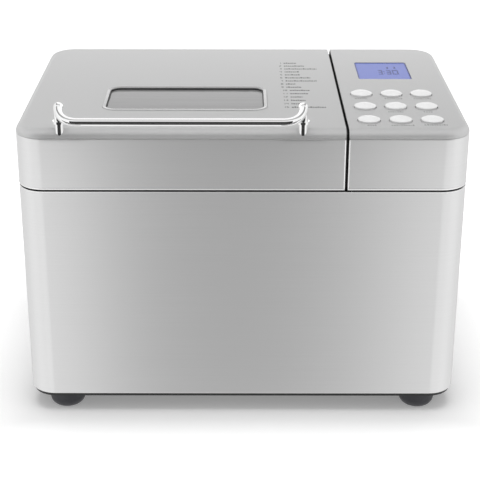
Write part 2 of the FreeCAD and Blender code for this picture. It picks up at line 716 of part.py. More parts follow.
def pan_mount():
    """The cup on the oven floor that the pan's foot drops into."""
    disc = cylinder(LID_X, Y_MID, Z_OVEN_FLOOR, Z_PAN_SEAT, MOUNT_DISC_DIAMETER)
    inner = PAN_FOOT_DIAMETER + 2 * MOVING_GAP
    wall = cylinder(LID_X, Y_MID, Z_PAN_SEAT, Z_PAN_SEAT + MOUNT_RING_HEIGHT, inner + 2 * MOUNT_RING_WALL)
    wall = wall.cut(cylinder(LID_X, Y_MID, Z_PAN_SEAT, Z_PAN_SEAT + MOUNT_RING_HEIGHT, inner))
    eye = cylinder(LID_X, Y_MID, Z_OVEN_FLOOR, Z_PAN_SEAT, DOG_DIAMETER + 2 * MOUNT_HOLE_CLEARANCE)
    holes = [cylinder(x, y, Z_OVEN_FLOOR, Z_PAN_SEAT, SCREW_HOLE) for x, y in mount_screw_places()]
    return cut(fuse([disc, wall]), [eye] + holes)


def bearing_housing():
    base = cylinder(LID_X, Y_MID, Z_CHASSIS_TOP, Z_CHASSIS_TOP + HOUSING_FLANGE, HOUSING_FLANGE_DIAMETER)
    tower = cylinder(LID_X, Y_MID, Z_CHASSIS_TOP, Z_OVEN, HOUSING_BODY_DIAMETER)
    spigot = cylinder(LID_X, Y_MID, Z_OVEN, Z_HOUSING, HOUSING_SPIGOT_DIAMETER)
    holes = [cylinder(LID_X, Y_MID, Z_CHASSIS_TOP, Z_HOUSING, DRIVE_SHAFT_DIAMETER + 2 * MOVING_GAP)]
    for z in bearing_levels():
        holes.append(cylinder(LID_X, Y_MID, z, z + BEARING_LENGTH, BEARING_OUTER_DIAMETER))
    return cut(fuse([base, tower, spigot]), holes)


def drive_bushes():
    bore = DRIVE_SHAFT_DIAMETER + 2 * RUNNING_FIT
    bushes = []
    for z in bearing_levels():
        bush = cylinder(LID_X, Y_MID, z, z + BEARING_LENGTH, BEARING_OUTER_DIAMETER)
        bushes.append(bush.cut(cylinder(LID_X, Y_MID, z, z + BEARING_LENGTH, bore)))
    return Part.makeCompound(bushes)


def drive_shaft():
    return cylinder(LID_X, Y_MID, Z_PULLEY - SHAFT_TAIL, Z_DOG + DOG_DISC, DRIVE_SHAFT_DIAMETER)


def drive_dog():
    """The coupling on the drive shaft: a disc with two lugs that push the wing under the pan."""
    disc = cylinder(LID_X, Y_MID, Z_DOG, Z_DOG + DOG_DISC, DOG_DIAMETER)
    disc = disc.cut(cylinder(LID_X, Y_MID, Z_DOG, Z_DOG + DOG_DISC, DRIVE_SHAFT_DIAMETER))
    lugs = []
    for side in (-1, 1):
        y = Y_MID + side * DOG_LUG_CIRCLE / 2
        lugs.append(cylinder(LID_X, y, Z_DOG, Z_DOG + DOG_DISC + DOG_LUG_RISE, DOG_LUG_DIAMETER))
    return fuse([disc] + lugs)


def flanged_wheel(x, diameter):
    """A belt wheel with a smooth groove between two flanges, without its bore."""
    drum = cylinder(x, Y_MID, Z_PULLEY, Z_PULLEY_TOP, diameter)
    edge = diameter + 2 * PULLEY_FLANGE_LIP
    low = cylinder(x, Y_MID, Z_PULLEY, Z_PULLEY + PULLEY_FLANGE, edge)
    high = cylinder(x, Y_MID, Z_PULLEY_TOP - PULLEY_FLANGE, Z_PULLEY_TOP, edge)
    return fuse([drum, low, high])


def drive_pulley():
    wheel = flanged_wheel(LID_X, PULLEY_DIAMETER)
    middle = (Z_PULLEY + Z_PULLEY_TOP) / 2
    recesses = []
    for z0, z1 in ((Z_PULLEY, middle - PULLEY_WEB / 2), (middle + PULLEY_WEB / 2, Z_PULLEY_TOP)):
        pocket = cylinder(LID_X, Y_MID, z0, z1, PULLEY_DIAMETER - 2 * PULLEY_RIM)
        recesses.append(pocket.cut(cylinder(LID_X, Y_MID, z0, z1, PULLEY_HUB_DIAMETER)))
    bore = cylinder(LID_X, Y_MID, Z_PULLEY, Z_PULLEY_TOP, DRIVE_SHAFT_DIAMETER)
    return cut(wheel, recesses + [bore])


def motor_pulley():
    wheel = flanged_wheel(MOTOR_X, MOTOR_PULLEY_DIAMETER)
    return wheel.cut(cylinder(MOTOR_X, Y_MID, Z_PULLEY, Z_PULLEY_TOP, MOTOR_SHAFT_DIAMETER))


def belt_outline(large, small, z0, z1):
    """The block inside an open belt that wraps two circles of given radii."""
    span = MOTOR_X - LID_X
    angle = math.acos((large - small) / span)
    up = V(math.cos(angle), math.sin(angle), 0)
    down = V(math.cos(angle), -math.sin(angle), 0)
    first = V(LID_X, Y_MID, z0)
    second = V(MOTOR_X, Y_MID, z0)
    edges = [
        Part.makeLine(first + down * large, second + down * small),
        Part.Arc(second + down * small, second + AXIS_X * small, second + up * small).toShape(),
        Part.makeLine(second + up * small, first + up * large),
        Part.Arc(first + up * large, first - AXIS_X * large, first + down * large).toShape(),
    ]
    return Part.Face(Part.Wire(edges)).extrude(V(0, 0, z1 - z0))


def drive_belt():
    z0 = Z_PULLEY + PULLEY_FLANGE + BELT_SIDE_GAP
    large = PULLEY_DIAMETER / 2 + BELT_CLEARANCE
    small = MOTOR_PULLEY_DIAMETER / 2 + BELT_CLEARANCE
    outer = belt_outline(large + BELT_THICKNESS, small + BELT_THICKNESS, z0, z0 + BELT_WIDTH)
    return outer.cut(belt_outline(large, small, z0, z0 + BELT_WIDTH))


def motor_end_caps():
    caps = []
    for outside, inside in ((Z_CHASSIS_TOP, Z_CHASSIS_TOP + MOTOR_CAP), (MOTOR_TOP, MOTOR_TOP - MOTOR_CAP)):
        low, high = min(outside, inside), max(outside, inside)
        floor = MOTOR_CAP_WALL if outside < inside else -MOTOR_CAP_WALL
        shelf_low, shelf_high = min(outside + floor, inside), max(outside + floor, inside)
        cup = cylinder(MOTOR_X, Y_MID, low, high, MOTOR_DIAMETER)
        pocket = cylinder(MOTOR_X, Y_MID, shelf_low, shelf_high, MOTOR_DIAMETER - 2 * MOTOR_CAP_WALL)
        boss = cylinder(MOTOR_X, Y_MID, low + MOVING_GAP, high - MOVING_GAP, MOTOR_BOSS_DIAMETER)
        bore = cylinder(MOTOR_X, Y_MID, low, high, MOTOR_SHAFT_DIAMETER + 2 * RUNNING_FIT)
        caps.append(fuse([cup.cut(pocket), boss]).cut(bore))
    return Part.makeCompound(caps)


def motor_stator():
    z0 = Z_CHASSIS_TOP + MOTOR_CAP
    stack = cylinder(MOTOR_X, Y_MID, z0, z0 + MOTOR_STACK, MOTOR_DIAMETER)
    return stack.cut(cylinder(MOTOR_X, Y_MID, z0, z0 + MOTOR_STACK, ROTOR_DIAMETER + 2 * ROTOR_GAP))


def motor_rotor():
    z0 = Z_CHASSIS_TOP + MOTOR_CAP
    core = cylinder(MOTOR_X, Y_MID, z0, z0 + MOTOR_STACK, ROTOR_DIAMETER)
    return fuse([core, cylinder(MOTOR_X, Y_MID, Z_PULLEY, MOTOR_TOP + SHAFT_TAIL, MOTOR_SHAFT_DIAMETER)])


def capacitor():
    y = Y_FRONT + CAPACITOR_SETBACK
    return cylinder(MOTOR_X, y, Z_CHASSIS_TOP, Z_CHASSIS_TOP + CAPACITOR_HEIGHT, CAPACITOR_DIAMETER)


def power_board():
    """The supply board with its transformer and relay soldered on."""
    width, depth = POWER_BOARD_SIZE
    top = Z_POWER_BOARD + BOARD_SHEET
    board = block(MOTOR_X, POWER_BOARD_Y, width, depth, Z_POWER_BOARD, top)
    reach = width / 2 - SCREW_HEAD_DIAMETER
    wide, deep, tall = TRANSFORMER_SIZE
    transformer = block(MOTOR_X - reach + wide / 2, POWER_BOARD_Y, wide, deep, top, top + tall)
    wide, deep, tall = RELAY_SIZE
    relay = block(MOTOR_X + reach - wide / 2, POWER_BOARD_Y, wide, deep, top, top + tall)
    holes = [cylinder(x, y, Z_POWER_BOARD, top, SCREW_HOLE) for x, y in power_board_places()]
    return cut(fuse([board, transformer, relay]), holes)


def cord_gland():
    flange = rod_y(MOTOR_X, Y_REAR, Y_REAR + GLAND_FLANGE, GLAND_Z, GLAND_FLANGE_DIAMETER)
    sleeve = rod_y(MOTOR_X, Y_REAR + GLAND_FLANGE - GLAND_LENGTH, Y_REAR, GLAND_Z, GLAND_DIAMETER)
    bore = rod_y(MOTOR_X, Y_REAR - GLAND_LENGTH, Y_REAR + GLAND_FLANGE, GLAND_Z, GLAND_BORE)
    return fuse([flange, sleeve]).cut(bore)


def case_screws():
    screws = [screw(x, y, Z_CHASSIS_TOP) for x, y in standoff_places()]
    screws += [screw(x, y, Z_PAN_SEAT) for x, y in mount_screw_places()]
    screws += [screw(x, y, Z_DECK + BRACKET_SHEET) for x, y in hinge_screw_places()]
    screws += [screw(x, y, Z_POWER_BOARD + BOARD_SHEET) for x, y in power_board_places()]
    screws += [screw(x, y, Z_BOARD - BOARD_SHEET, up=True) for x, y in board_screw_places()]
    return Part.makeCompound(screws)


def pod_base():
    inner = SKIN + FIT + POD_BASE_WALL
    plinth = ring("pod", POD_BASE_INSET, inner, Z_DECK, Z_LID)
    return fuse([plinth, ring("pod", SKIN + FIT, inner, Z_LID, Z_LID + POD_BASE_LIP)])


def pod_band():
    return ring("pod", 0, SKIN, Z_LID, Z_CREASE)


def display_block(inset, top):
    """The display's outline through the panel, drawn in by an inset."""
    width = DISPLAY_WIDTH - 2 * inset
    depth = DISPLAY_DEPTH - 2 * inset
    return rounded_prism(CONTROL_X, DISPLAY_Y, width, depth, DISPLAY_CORNER - inset, Z_INNER, top)


def control_panel():
    shell = cover("pod")
    posts = []
    holes = [display_block(0, Z_TOP)]
    for x, y in board_screw_places():
        posts.append(cylinder(x, y, Z_BOARD, Z_INNER + COVER_WALL / 2, BOARD_BOSS_DIAMETER))
        holes.append(cylinder(x, y, Z_BOARD, Z_BOARD + SCREW_LENGTH - BOARD_SHEET, SCREW_DIAMETER))
    for _, x, y in button_places():
        holes.append(cylinder(x, y, Z_INNER, Z_TOP, BUTTON_DIAMETER + 2 * BUTTON_GAP))
    return cut(fuse([shell] + posts), holes)


def display_lens():
    return display_block(FIT, Z_TOP - DISPLAY_RECESS)


def display_module():
    width = DISPLAY_WIDTH + 2 * DISPLAY_FRAME
    depth = DISPLAY_DEPTH + 2 * DISPLAY_FRAME
    return block(CONTROL_X, DISPLAY_Y, width, depth, Z_BOARD, Z_INNER)


def control_board():
    """The board under the panel, with a push switch soldered on below each button."""
    left = POD_LEFT + BOARD_MARGIN
    right = X_RIGHT - BOARD_MARGIN
    front = Y_FRONT + BOARD_SETBACK
    sheet = box(left, right, front, front + BOARD_DEPTH, Z_BOARD - BOARD_SHEET, Z_BOARD)
    switches = []
    for _, x, y in button_places():
        switches.append(block(x, y, SWITCH_SIZE, SWITCH_SIZE, Z_BOARD, Z_BOARD + SWITCH_HEIGHT))
    holes = [cylinder(x, y, Z_BOARD - BOARD_SHEET, Z_BOARD, SCREW_HOLE) for x, y in board_screw_places()]
    return cut(fuse([sheet] + switches), holes)


def button(x, y):
    """A domed cap with a flange that keeps it under the panel and a stem over its switch."""
    lip = Z_INNER - MOVING_GAP
    crown = Z_TOP + BUTTON_PROUD
    radius = BUTTON_DIAMETER / 2
    flange = cylinder(x, y, lip - BUTTON_FLANGE, lip, BUTTON_DIAMETER + 2 * BUTTON_FLANGE_LIP)
    cap = cylinder(x, y, lip, crown, BUTTON_DIAMETER)
    ball = (radius ** 2 + BUTTON_DOME ** 2) / (2 * BUTTON_DOME)
    dome = Part.makeSphere(ball, V(x, y, crown + BUTTON_DOME - ball))
    dome = dome.common(cylinder(x, y, crown, crown + BUTTON_DOME + PAST, BUTTON_DIAMETER))
    foot = Z_BOARD + SWITCH_HEIGHT + BUTTON_TRAVEL + MOVING_GAP
    stem = cylinder(x, y, foot, lip, BUTTON_STEM_DIAMETER)
    return fuse([flange, cap, dome, stem])


def lid_band():
    wall = ring("lid", 0, SKIN, Z_LID, Z_CREASE)
    relief = box(X_LEFT - PAST, LID_RIGHT + PAST, HINGE_Y, Y_REAR + PAST, Z_LID - PAST, HINGE_Z)
    width, height = STEAM_SLOT_SIZE
    low = Z_CREASE - SPIGOT_LENGTH - STEAM_SLOT_DROP - height / 2
    slots = []
    for index in range(STEAM_SLOT_COUNT):
        x = LID_X + (index - (STEAM_SLOT_COUNT - 1) / 2) * STEAM_SLOT_PITCH
        slots.append(block(x, Y_REAR, width, 2 * PAST, low, low + height))
    return cut(wall, [relief] + slots)


def window_block(extra, z0, z1):
    """The window's rounded outline, grown by an extra margin."""
    width = WINDOW_WIDTH + 2 * extra
    depth = WINDOW_DEPTH + 2 * extra
    return rounded_prism(WINDOW_X, WINDOW_Y, width, depth, WINDOW_CORNER + extra, z0, z1)


def lid_cover():
    bosses = []
    holes = [window_block(BEZEL_WIDTH, Z_INNER, Z_TOP)]
    for x in post_places():
        bosses.append(cylinder(x, POST_SCREW_Y, Z_POST_SEAT, Z_INNER + COVER_WALL / 2, POST_BOSS_DIAMETER))
        holes.append(cylinder(x, POST_SCREW_Y, Z_POST_SEAT, Z_TOP, POST_SCREW_DIAMETER + 2 * FIT))
    return cut(fuse([cover("lid")] + bosses), holes)


def window_bezel():
    frame = window_block(BEZEL_WIDTH - FIT, Z_GLASS, Z_TOP + BEZEL_PROUD)
    return frame.cut(window_block(0, Z_GLASS, Z_TOP + BEZEL_PROUD))


def window_glass():
    """A stepped pane: a wide plate under the cover and a raised field inside the bezel."""
    plate = window_block(2 * BEZEL_WIDTH, Z_GLASS - GLASS_THICKNESS, Z_GLASS)
    return fuse([plate, window_block(-GLASS_GAP, Z_GLASS, Z_GLASS + GLASS_RISE)])


def lid_liner():
    """The pressed inner face of the lid: a rim, a raised dish and a collar under the window."""
    edge = SKIN + FIT
    under = Z_CEILING - LINER_SHEET
    rim = side_of(plan(edge, Z_LINER, Z_LINER + LINER_SHEET), "lid", edge)
    rear = LIP_REAR + LINER_REAR_LIP
    rim = rim.cut(box(X_LEFT, LID_RIGHT, rear, Y_REAR, Z_LINER, Z_LINER + LINER_SHEET))
    dish = oven_block(LINER_SHEET, Z_LINER, Z_CEILING)
    hollow = oven_block(0, Z_LINER, under)
    collar = window_block(LINER_SHEET, under, Z_GLASS - GLASS_THICKNESS)
    holes = [hollow, window_block(0, under, Z_GLASS)]
    for index in range(STEAM_HOLE_COUNT):
        x = LID_X + (index - (STEAM_HOLE_COUNT - 1) / 2) * STEAM_HOLE_PITCH
        y = Y_MID + CHAMBER_DEPTH / 2 - STEAM_HOLE_INSET
        holes.append(cylinder(x, y, under, Z_CEILING, STEAM_HOLE_DIAMETER))
    return cut(fuse([rim, dish, collar]), holes)


def lid_seal():
    """The soft ring under the lid's rim that closes on the flange of the oven."""
    low = Z_DECK + CHAMBER_SHEET + MOVING_GAP
    return oven_block(CHAMBER_LIP, low, Z_LINER).cut(oven_block(CHAMBER_LIP - SEAL_WIDTH, low, Z_LINER))


def handle_post(x):
    """A round post with a collar, whose foot is cut to the rounded front edge of the lid."""
    arm = Z_TOP + HANDLE_ARM_HEIGHT
    stem = cylinder(x, POST_Y, Z_COVER, arm, POST_DIAMETER)
    ball = Part.makeSphere(POST_DIAMETER / 2, V(x, POST_Y, arm))
    low = Z_TOP + POST_COLLAR_LIFT
    collar = cylinder(x, POST_Y, low, low + POST_COLLAR_HEIGHT, POST_COLLAR_DIAMETER)
    bore = cylinder(x, POST_SCREW_Y, Z_COVER, Z_POST_SEAT + POST_SCREW_LENGTH, POST_SCREW_DIAMETER)
    lid = side_of(dome_plan(0, Z_COVER, Z_TOP), "lid", 0)
    return cut(fuse([stem, ball, collar]), [lid, bore])


def handle_posts():
    return Part.makeCompound([handle_post(x) for x in post_places()])


def handle_bar():
    """A round rail in front of the lid whose ends bend back to the two posts."""
    left, right = post_places()
    arm = Z_TOP + HANDLE_ARM_HEIGHT
    bar = Z_TOP + HANDLE_BAR_HEIGHT
    front = Y_FRONT - HANDLE_REACH
    points = [V(left, POST_Y, arm), V(left, front, bar), V(right, front, bar), V(right, POST_Y, arm)]
    path = bent_path(points, [HANDLE_BEND, HANDLE_BEND])
    rail = sweep_rod(path, points[0], points[1] - points[0], HANDLE_ROD)
    return cut(rail, [handle_post(left), handle_post(right)])


def handle_screw(x):
    head = cylinder(x, POST_SCREW_Y, Z_POST_SEAT - POST_SCREW_HEAD, Z_POST_SEAT, POST_SCREW_HEAD_DIAMETER)
    shank = cylinder(x, POST_SCREW_Y, Z_POST_SEAT, Z_POST_SEAT + POST_SCREW_LENGTH, POST_SCREW_DIAMETER)
    return fuse([head, shank])


def handle_screws():
    return Part.makeCompound([handle_screw(x) for x in post_places()])


def hinge_bracket(x):
    half = BRACKET_WIDTH / 2
    foot = box(x - half, x + half, BRACKET_FRONT, BRACKET_REAR, Z_DECK, Z_DECK + BRACKET_SHEET)
    stem = box(x - half, x + half, BRACKET_REAR - BRACKET_STEM, BRACKET_REAR, Z_DECK, HINGE_Z)
    barrel = rod_x(x - half, x + half, HINGE_Y, HINGE_Z, HINGE_BARREL_DIAMETER)
    holes = [rod_x(x - half, x + half, HINGE_Y, HINGE_Z, HINGE_PIN_DIAMETER + 2 * RUNNING_FIT)]
    for screw_x, screw_y in hinge_screw_places():
        holes.append(cylinder(screw_x, screw_y, Z_DECK, Z_DECK + BRACKET_SHEET, SCREW_HOLE))
    return cut(fuse([foot, stem, barrel]), holes)


def hinge_brackets():
    return Part.makeCompound([hinge_bracket(x) for x in hinge_places()])


def hinge_leaf(x):
    inner = BRACKET_WIDTH / 2 + MOVING_GAP
    outer = inner + KNUCKLE_WIDTH
    wall = Y_REAR - SKIN
    foot = HINGE_Z + LEAF_CLEARANCE
    pieces = [box(x - outer, x + outer, wall - LEAF_THICKNESS, wall, foot, HINGE_Z + LEAF_HEIGHT)]
    for x0, x1 in ((x - outer, x - inner), (x + inner, x + outer)):
        pieces.append(rod_x(x0, x1, HINGE_Y, HINGE_Z, HINGE_BARREL_DIAMETER))
        pieces.append(box(x0, x1, HINGE_Y, wall, HINGE_Z, foot + LEAF_THICKNESS))
    return fuse(pieces).cut(rod_x(x - outer, x + outer, HINGE_Y, HINGE_Z, HINGE_PIN_DIAMETER))


def lid_hinge_leaves():
    return Part.makeCompound([hinge_leaf(x) for x in hinge_places()])


def hinge_pins():
    half = BRACKET_WIDTH / 2 + MOVING_GAP + KNUCKLE_WIDTH
    pins = [rod_x(x - half, x + half, HINGE_Y, HINGE_Z, HINGE_PIN_DIAMETER) for x in hinge_places()]
    return Part.makeCompound(pins)


def pan_block(margin, z0, z1):
    """The rounded outline of the pan, grown by a margin."""
    width = PAN_WIDTH + 2 * margin
    depth = PAN_DEPTH + 2 * margin
    return rounded_prism(LID_X, Y_MID, width, depth, PAN_CORNER + margin, z0, z1)


def bread_pan():
    shell = pan_block(0, Z_PAN, Z_RIM)
    lip = pan_block(PAN_RIM, Z_RIM - PAN_RIM_HEIGHT, Z_RIM)
    hollow = pan_block(-PAN_SHEET, Z_PAN + PAN_SHEET, Z_RIM)
    eye = cylinder(LID_X, Y_MID, Z_PAN, Z_PAN + PAN_SHEET, BUSH_DIAMETER)
    return cut(fuse([shell, lip]), [hollow, eye])


def pan_foot():
    disc = cylinder(LID_X, Y_MID, Z_PAN_SEAT, Z_PAN, PAN_FOOT_DIAMETER)
    inner = PAN_FOOT_DIAMETER - 2 * PAN_FOOT_WALL
    hollow = cylinder(LID_X, Y_MID, Z_PAN_SEAT, Z_PAN - PAN_FOOT_DISC, inner)
    eye = cylinder(LID_X, Y_MID, Z_PAN_SEAT, Z_PAN, BUSH_DIAMETER)
    return cut(disc, [hollow, eye])


def pan_bush():
    floor = Z_PAN + PAN_SHEET
    sleeve = cylinder(LID_X, Y_MID, Z_PAN - BUSH_DROP, floor, BUSH_DIAMETER)
    flange = cylinder(LID_X, Y_MID, floor, floor + BUSH_FLANGE, BUSH_FLANGE_DIAMETER)
    bore = KNEADER_SHAFT_DIAMETER + 2 * RUNNING_FIT
    return fuse([sleeve, flange]).cut(cylinder(LID_X, Y_MID, Z_PAN - BUSH_DROP, floor + BUSH_FLANGE, bore))


def kneader_shaft():
    """The shaft through the pan floor, with the wing that the drive turns."""
    length, width, height = WING_SIZE
    top = Z_PAN - BUSH_DROP - MOVING_GAP
    wing = block(LID_X, Y_MID, length, width, top - height, top)
    shaft_top = Z_PAN + PAN_SHEET + KNEADER_SHAFT_RISE
    return fuse([wing, cylinder(LID_X, Y_MID, top - height, shaft_top, KNEADER_SHAFT_DIAMETER)])


def kneading_paddle():
    foot = Z_PAN + PAN_SHEET + BUSH_FLANGE + PADDLE_LIFT
    hub = cylinder(LID_X, Y_MID, foot, foot + PADDLE_HUB_HEIGHT, PADDLE_HUB_DIAMETER)
    y0 = Y_MID - PADDLE_BLADE / 2
    outline = [
        V(LID_X, y0, foot),
        V(LID_X + PADDLE_REACH, y0, foot),
        V(LID_X + PADDLE_REACH, y0, foot + PADDLE_TIP_HEIGHT),
        V(LID_X + PADDLE_REACH / 2, y0, foot + PADDLE_BLADE_HEIGHT),
        V(LID_X, y0, foot + PADDLE_HUB_HEIGHT),
        V(LID_X, y0, foot),
    ]
    blade = Part.Face(Part.makePolygon(outline)).extrude(V(0, PADDLE_BLADE, 0))
    shaft_top = Z_PAN + PAN_SHEET + KNEADER_SHAFT_RISE
    return fuse([hub, blade]).cut(cylinder(LID_X, Y_MID, foot, shaft_top, KNEADER_SHAFT_DIAMETER))


def pan_ears():
    """The two brackets on the ends of the pan that carry its handle."""
    ears = []
    for side in (-1, 1):
        x = LID_X + side * (EAR_FACE + EAR_SHEET / 2)
        plate = block(x, Y_MID, EAR_SHEET, EAR_WIDTH, Z_RIM - EAR_TAIL, BAIL_Z + EAR_HEAD)
        eye = rod_x(x - EAR_SHEET, x + EAR_SHEET, Y_MID, BAIL_Z, BAIL_WIRE + 2 * MOVING_GAP)
        ears.append(plate.cut(eye))
    return Part.makeCompound(ears)


def pan_bail():
    """The wire handle of the pan, folded flat towards the rear."""
    leg = EAR_FACE - MOVING_GAP - BAIL_PIN_BEND
    end = EAR_FACE + EAR_SHEET
    corners = [(-end, 0), (-leg, 0), (-leg, BAIL_REACH), (leg, BAIL_REACH), (leg, 0), (end, 0)]
    points = [V(LID_X + x, Y_MID + y, BAIL_Z) for x, y in corners]
    bends = [BAIL_PIN_BEND, BAIL_BEND, BAIL_BEND, BAIL_PIN_BEND]
    return sweep_rod(bent_path(points, bends), points[0], AXIS_X, BAIL_WIRE)


NODES = (
    body_wrap, rear_panel, base_plate, rubber_feet, chassis, deck, gap_strip, oven_chamber,
    heating_element, heater_clips, temperature_sensor, pan_mount, bearing_housing, drive_bushes,
    drive_shaft, drive_dog, drive_pulley, motor_pulley, drive_belt, motor_end_caps, motor_stator,
    motor_rotor, capacitor, power_board, cord_gland, case_screws, pod_base, pod_band, control_panel,
    display_lens, display_module, control_board, lid_band, lid_cover, window_bezel, window_glass,
    lid_liner, lid_seal, handle_posts, handle_bar, handle_screws, hinge_brackets, lid_hinge_leaves,
    hinge_pins, bread_pan, pan_foot, pan_bush, kneader_shaft, kneading_paddle, pan_ears, pan_bail,
)

os.makedirs("parts", exist_ok=True)
for node in NODES:
    node().exportStep(f"parts/{node.__name__}.step")
for number, button_x, button_y in button_places():
    button(button_x, button_y).exportStep(f"parts/button_{number}.step")
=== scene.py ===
import json
import math

import bpy
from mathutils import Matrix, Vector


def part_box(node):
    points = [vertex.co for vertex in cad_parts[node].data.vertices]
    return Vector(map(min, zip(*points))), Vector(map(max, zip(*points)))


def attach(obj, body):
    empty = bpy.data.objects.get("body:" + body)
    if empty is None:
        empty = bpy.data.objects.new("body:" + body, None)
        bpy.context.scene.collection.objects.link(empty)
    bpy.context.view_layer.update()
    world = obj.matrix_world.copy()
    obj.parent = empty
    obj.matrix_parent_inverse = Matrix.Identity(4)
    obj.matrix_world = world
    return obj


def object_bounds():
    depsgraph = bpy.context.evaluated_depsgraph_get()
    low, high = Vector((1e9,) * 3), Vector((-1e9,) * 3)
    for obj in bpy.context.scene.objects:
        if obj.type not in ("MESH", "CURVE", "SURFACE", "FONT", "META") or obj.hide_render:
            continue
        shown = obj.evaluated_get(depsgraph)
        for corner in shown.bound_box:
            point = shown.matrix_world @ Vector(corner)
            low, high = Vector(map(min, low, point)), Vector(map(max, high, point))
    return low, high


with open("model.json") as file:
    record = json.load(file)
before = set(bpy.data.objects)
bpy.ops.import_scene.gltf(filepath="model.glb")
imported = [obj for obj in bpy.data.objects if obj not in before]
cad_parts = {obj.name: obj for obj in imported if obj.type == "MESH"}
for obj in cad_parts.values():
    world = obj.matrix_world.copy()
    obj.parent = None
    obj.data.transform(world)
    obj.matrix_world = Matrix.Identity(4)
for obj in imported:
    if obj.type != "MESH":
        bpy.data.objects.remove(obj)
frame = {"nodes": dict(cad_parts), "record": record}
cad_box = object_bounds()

scene = bpy.context.scene
scene.view_settings.view_transform = "Standard"
nodes = frame["nodes"]

# The axes as places in a point
X, Y, Z = 0, 1, 2

# The casing, in millimetres like all the pieces below; the stage and its lamps are in metres
HALF_WIDTH = 180
BODY_DEPTH = 250
FRONT = -118.75
CORNER = 22
BODY_TOP = 200.0
BAND_LOW = 201.5
BAND_HEM_TOP = 202.8
BAND_EDGE_TOP = 243.2
LID_TOP = 251.2
LID_GAP_FACE = 80.8
POD_GAP_FACE = 83.2

# The lid's window and the display on the pod
WINDOW = (-47.4, -34.25)
WINDOW_SIZE = (130, 61)
WINDOW_CORNER = 9.0
BEZEL_TOP = 251.5
DISPLAY = (125.6, 51.85)
DISPLAY_SIZE = (46.2, 53.6)

# How high printed marks stand, and the steps of a rounded corner
PRINT = 0.03
STEPS = 8


def mm(*values):
    return tuple(v / 1000 for v in values)


# Camera and stage

def make_camera():
    data = bpy.data.cameras.new("camera")
    data.sensor_width = 36
    data.lens = 97.5
    camera = bpy.data.objects.new("camera", data)
    camera.location = (-0.00258, -1.08075, 0.56969)
    camera.rotation_euler = (math.radians(66.86), math.radians(-0.08), 0)
    scene.collection.objects.link(camera)
    scene.camera = camera


def node(tree, kind, inputs=None, **settings):
    """Adds a shader node; each input is a value, or a socket to link from."""
    made = tree.nodes.new(kind)
    for key, value in settings.items():
        setattr(made, key, value)
    for key, value in (inputs or {}).items():
        if isinstance(value, bpy.types.NodeSocket):
            tree.links.new(value, made.inputs[key])
        else:
            made.inputs[key].default_value = value
    return made


def maths(tree, operation, *values):
    return node(tree, "ShaderNodeMath", dict(enumerate(values)), operation=operation).outputs[0]


def world_place(tree):
    """The shaded point's coordinates in the scene, one socket each."""
    point = node(tree, "ShaderNodeNewGeometry").outputs["Position"]
    return node(tree, "ShaderNodeSeparateXYZ", {0: point}).outputs


def seen_rays(tree):
    """1 for the rays that show the background: camera, gloss and glass."""
    path = node(tree, "ShaderNodeLightPath").outputs
    gloss = maths(tree, "MAXIMUM", path["Is Camera Ray"], path["Is Glossy Ray"])
    return maths(tree, "MAXIMUM", gloss, path["Is Transmission Ray"])


def make_world(fill):
    """A white background that lights the object with a fill of its own."""
    world = bpy.data.worlds.new("studio")
    world.use_nodes = True
    tree = world.node_tree
    tree.nodes.clear()
    level = node(tree, "ShaderNodeMapRange", {"Value": seen_rays(tree), "To Min": fill, "To Max": 1.0})
    sky = node(tree, "ShaderNodeBackground", {"Color": level.outputs[0], "Strength": 1.0})
    node(tree, "ShaderNodeOutputWorld", {"Surface": sky.outputs[0]})
    scene.world = world


def empty_material(name):
    material = bpy.data.materials.new(name)
    material.use_nodes = True
    material.node_tree.nodes.clear()
    return material, material.node_tree


def stage_plane(name, corners, material):
    mesh = bpy.data.meshes.new(name)
    mesh.from_pydata(corners, [], [(0, 1, 2, 3)])
    mesh.materials.append(material)
    made = bpy.data.objects.new(name, mesh)
    scene.collection.objects.link(made)
    return made


def make_floor(front, reach, near, far):
    """A matt white floor, lifted to white for the camera away from the object and less so near it, which
    paints a shadow round the object over its real one.

    The lift grows from near to far over the fade, faster before and behind the object than beside it.
    """
    fade = 0.13
    material, tree = empty_material("floor")
    matt = node(tree, "ShaderNodeBsdfDiffuse", {"Color": (0.9, 0.9, 0.9, 1)})
    place = world_place(tree)
    low, high = cad_box
    gaps = []
    for axis, pace in ((X, 1.0), (Y, 2.3)):
        offset = maths(tree, "SUBTRACT", place[axis], (low[axis] + high[axis]) / 2)
        distance = maths(tree, "ABSOLUTE", offset)
        gap = maths(tree, "SUBTRACT", distance, (high[axis] - low[axis]) / 2)
        gaps.append(maths(tree, "MULTIPLY", gap, pace))
    away = maths(tree, "MAXIMUM", *gaps)
    # Less lift near the object: a painted shadow round it, over the real one.
    lift = node(
        tree, "ShaderNodeMapRange",
        {"Value": away, "From Min": 0.0, "From Max": fade, "To Min": near, "To Max": far},
    )
    strength = maths(tree, "MULTIPLY", seen_rays(tree), lift.outputs[0])
    glow = node(tree, "ShaderNodeEmission", {"Color": (1, 1, 1, 1), "Strength": strength})
    both = node(tree, "ShaderNodeAddShader", {0: matt.outputs[0], 1: glow.outputs[0]})
    node(tree, "ShaderNodeOutputMaterial", {"Surface": both.outputs[0]})
    corners = [(-reach, front, 0), (reach, front, 0), (reach, reach, 0), (-reach, reach, 0)]
    floor = stage_plane("floor", corners, material)
    floor.visible_glossy = False


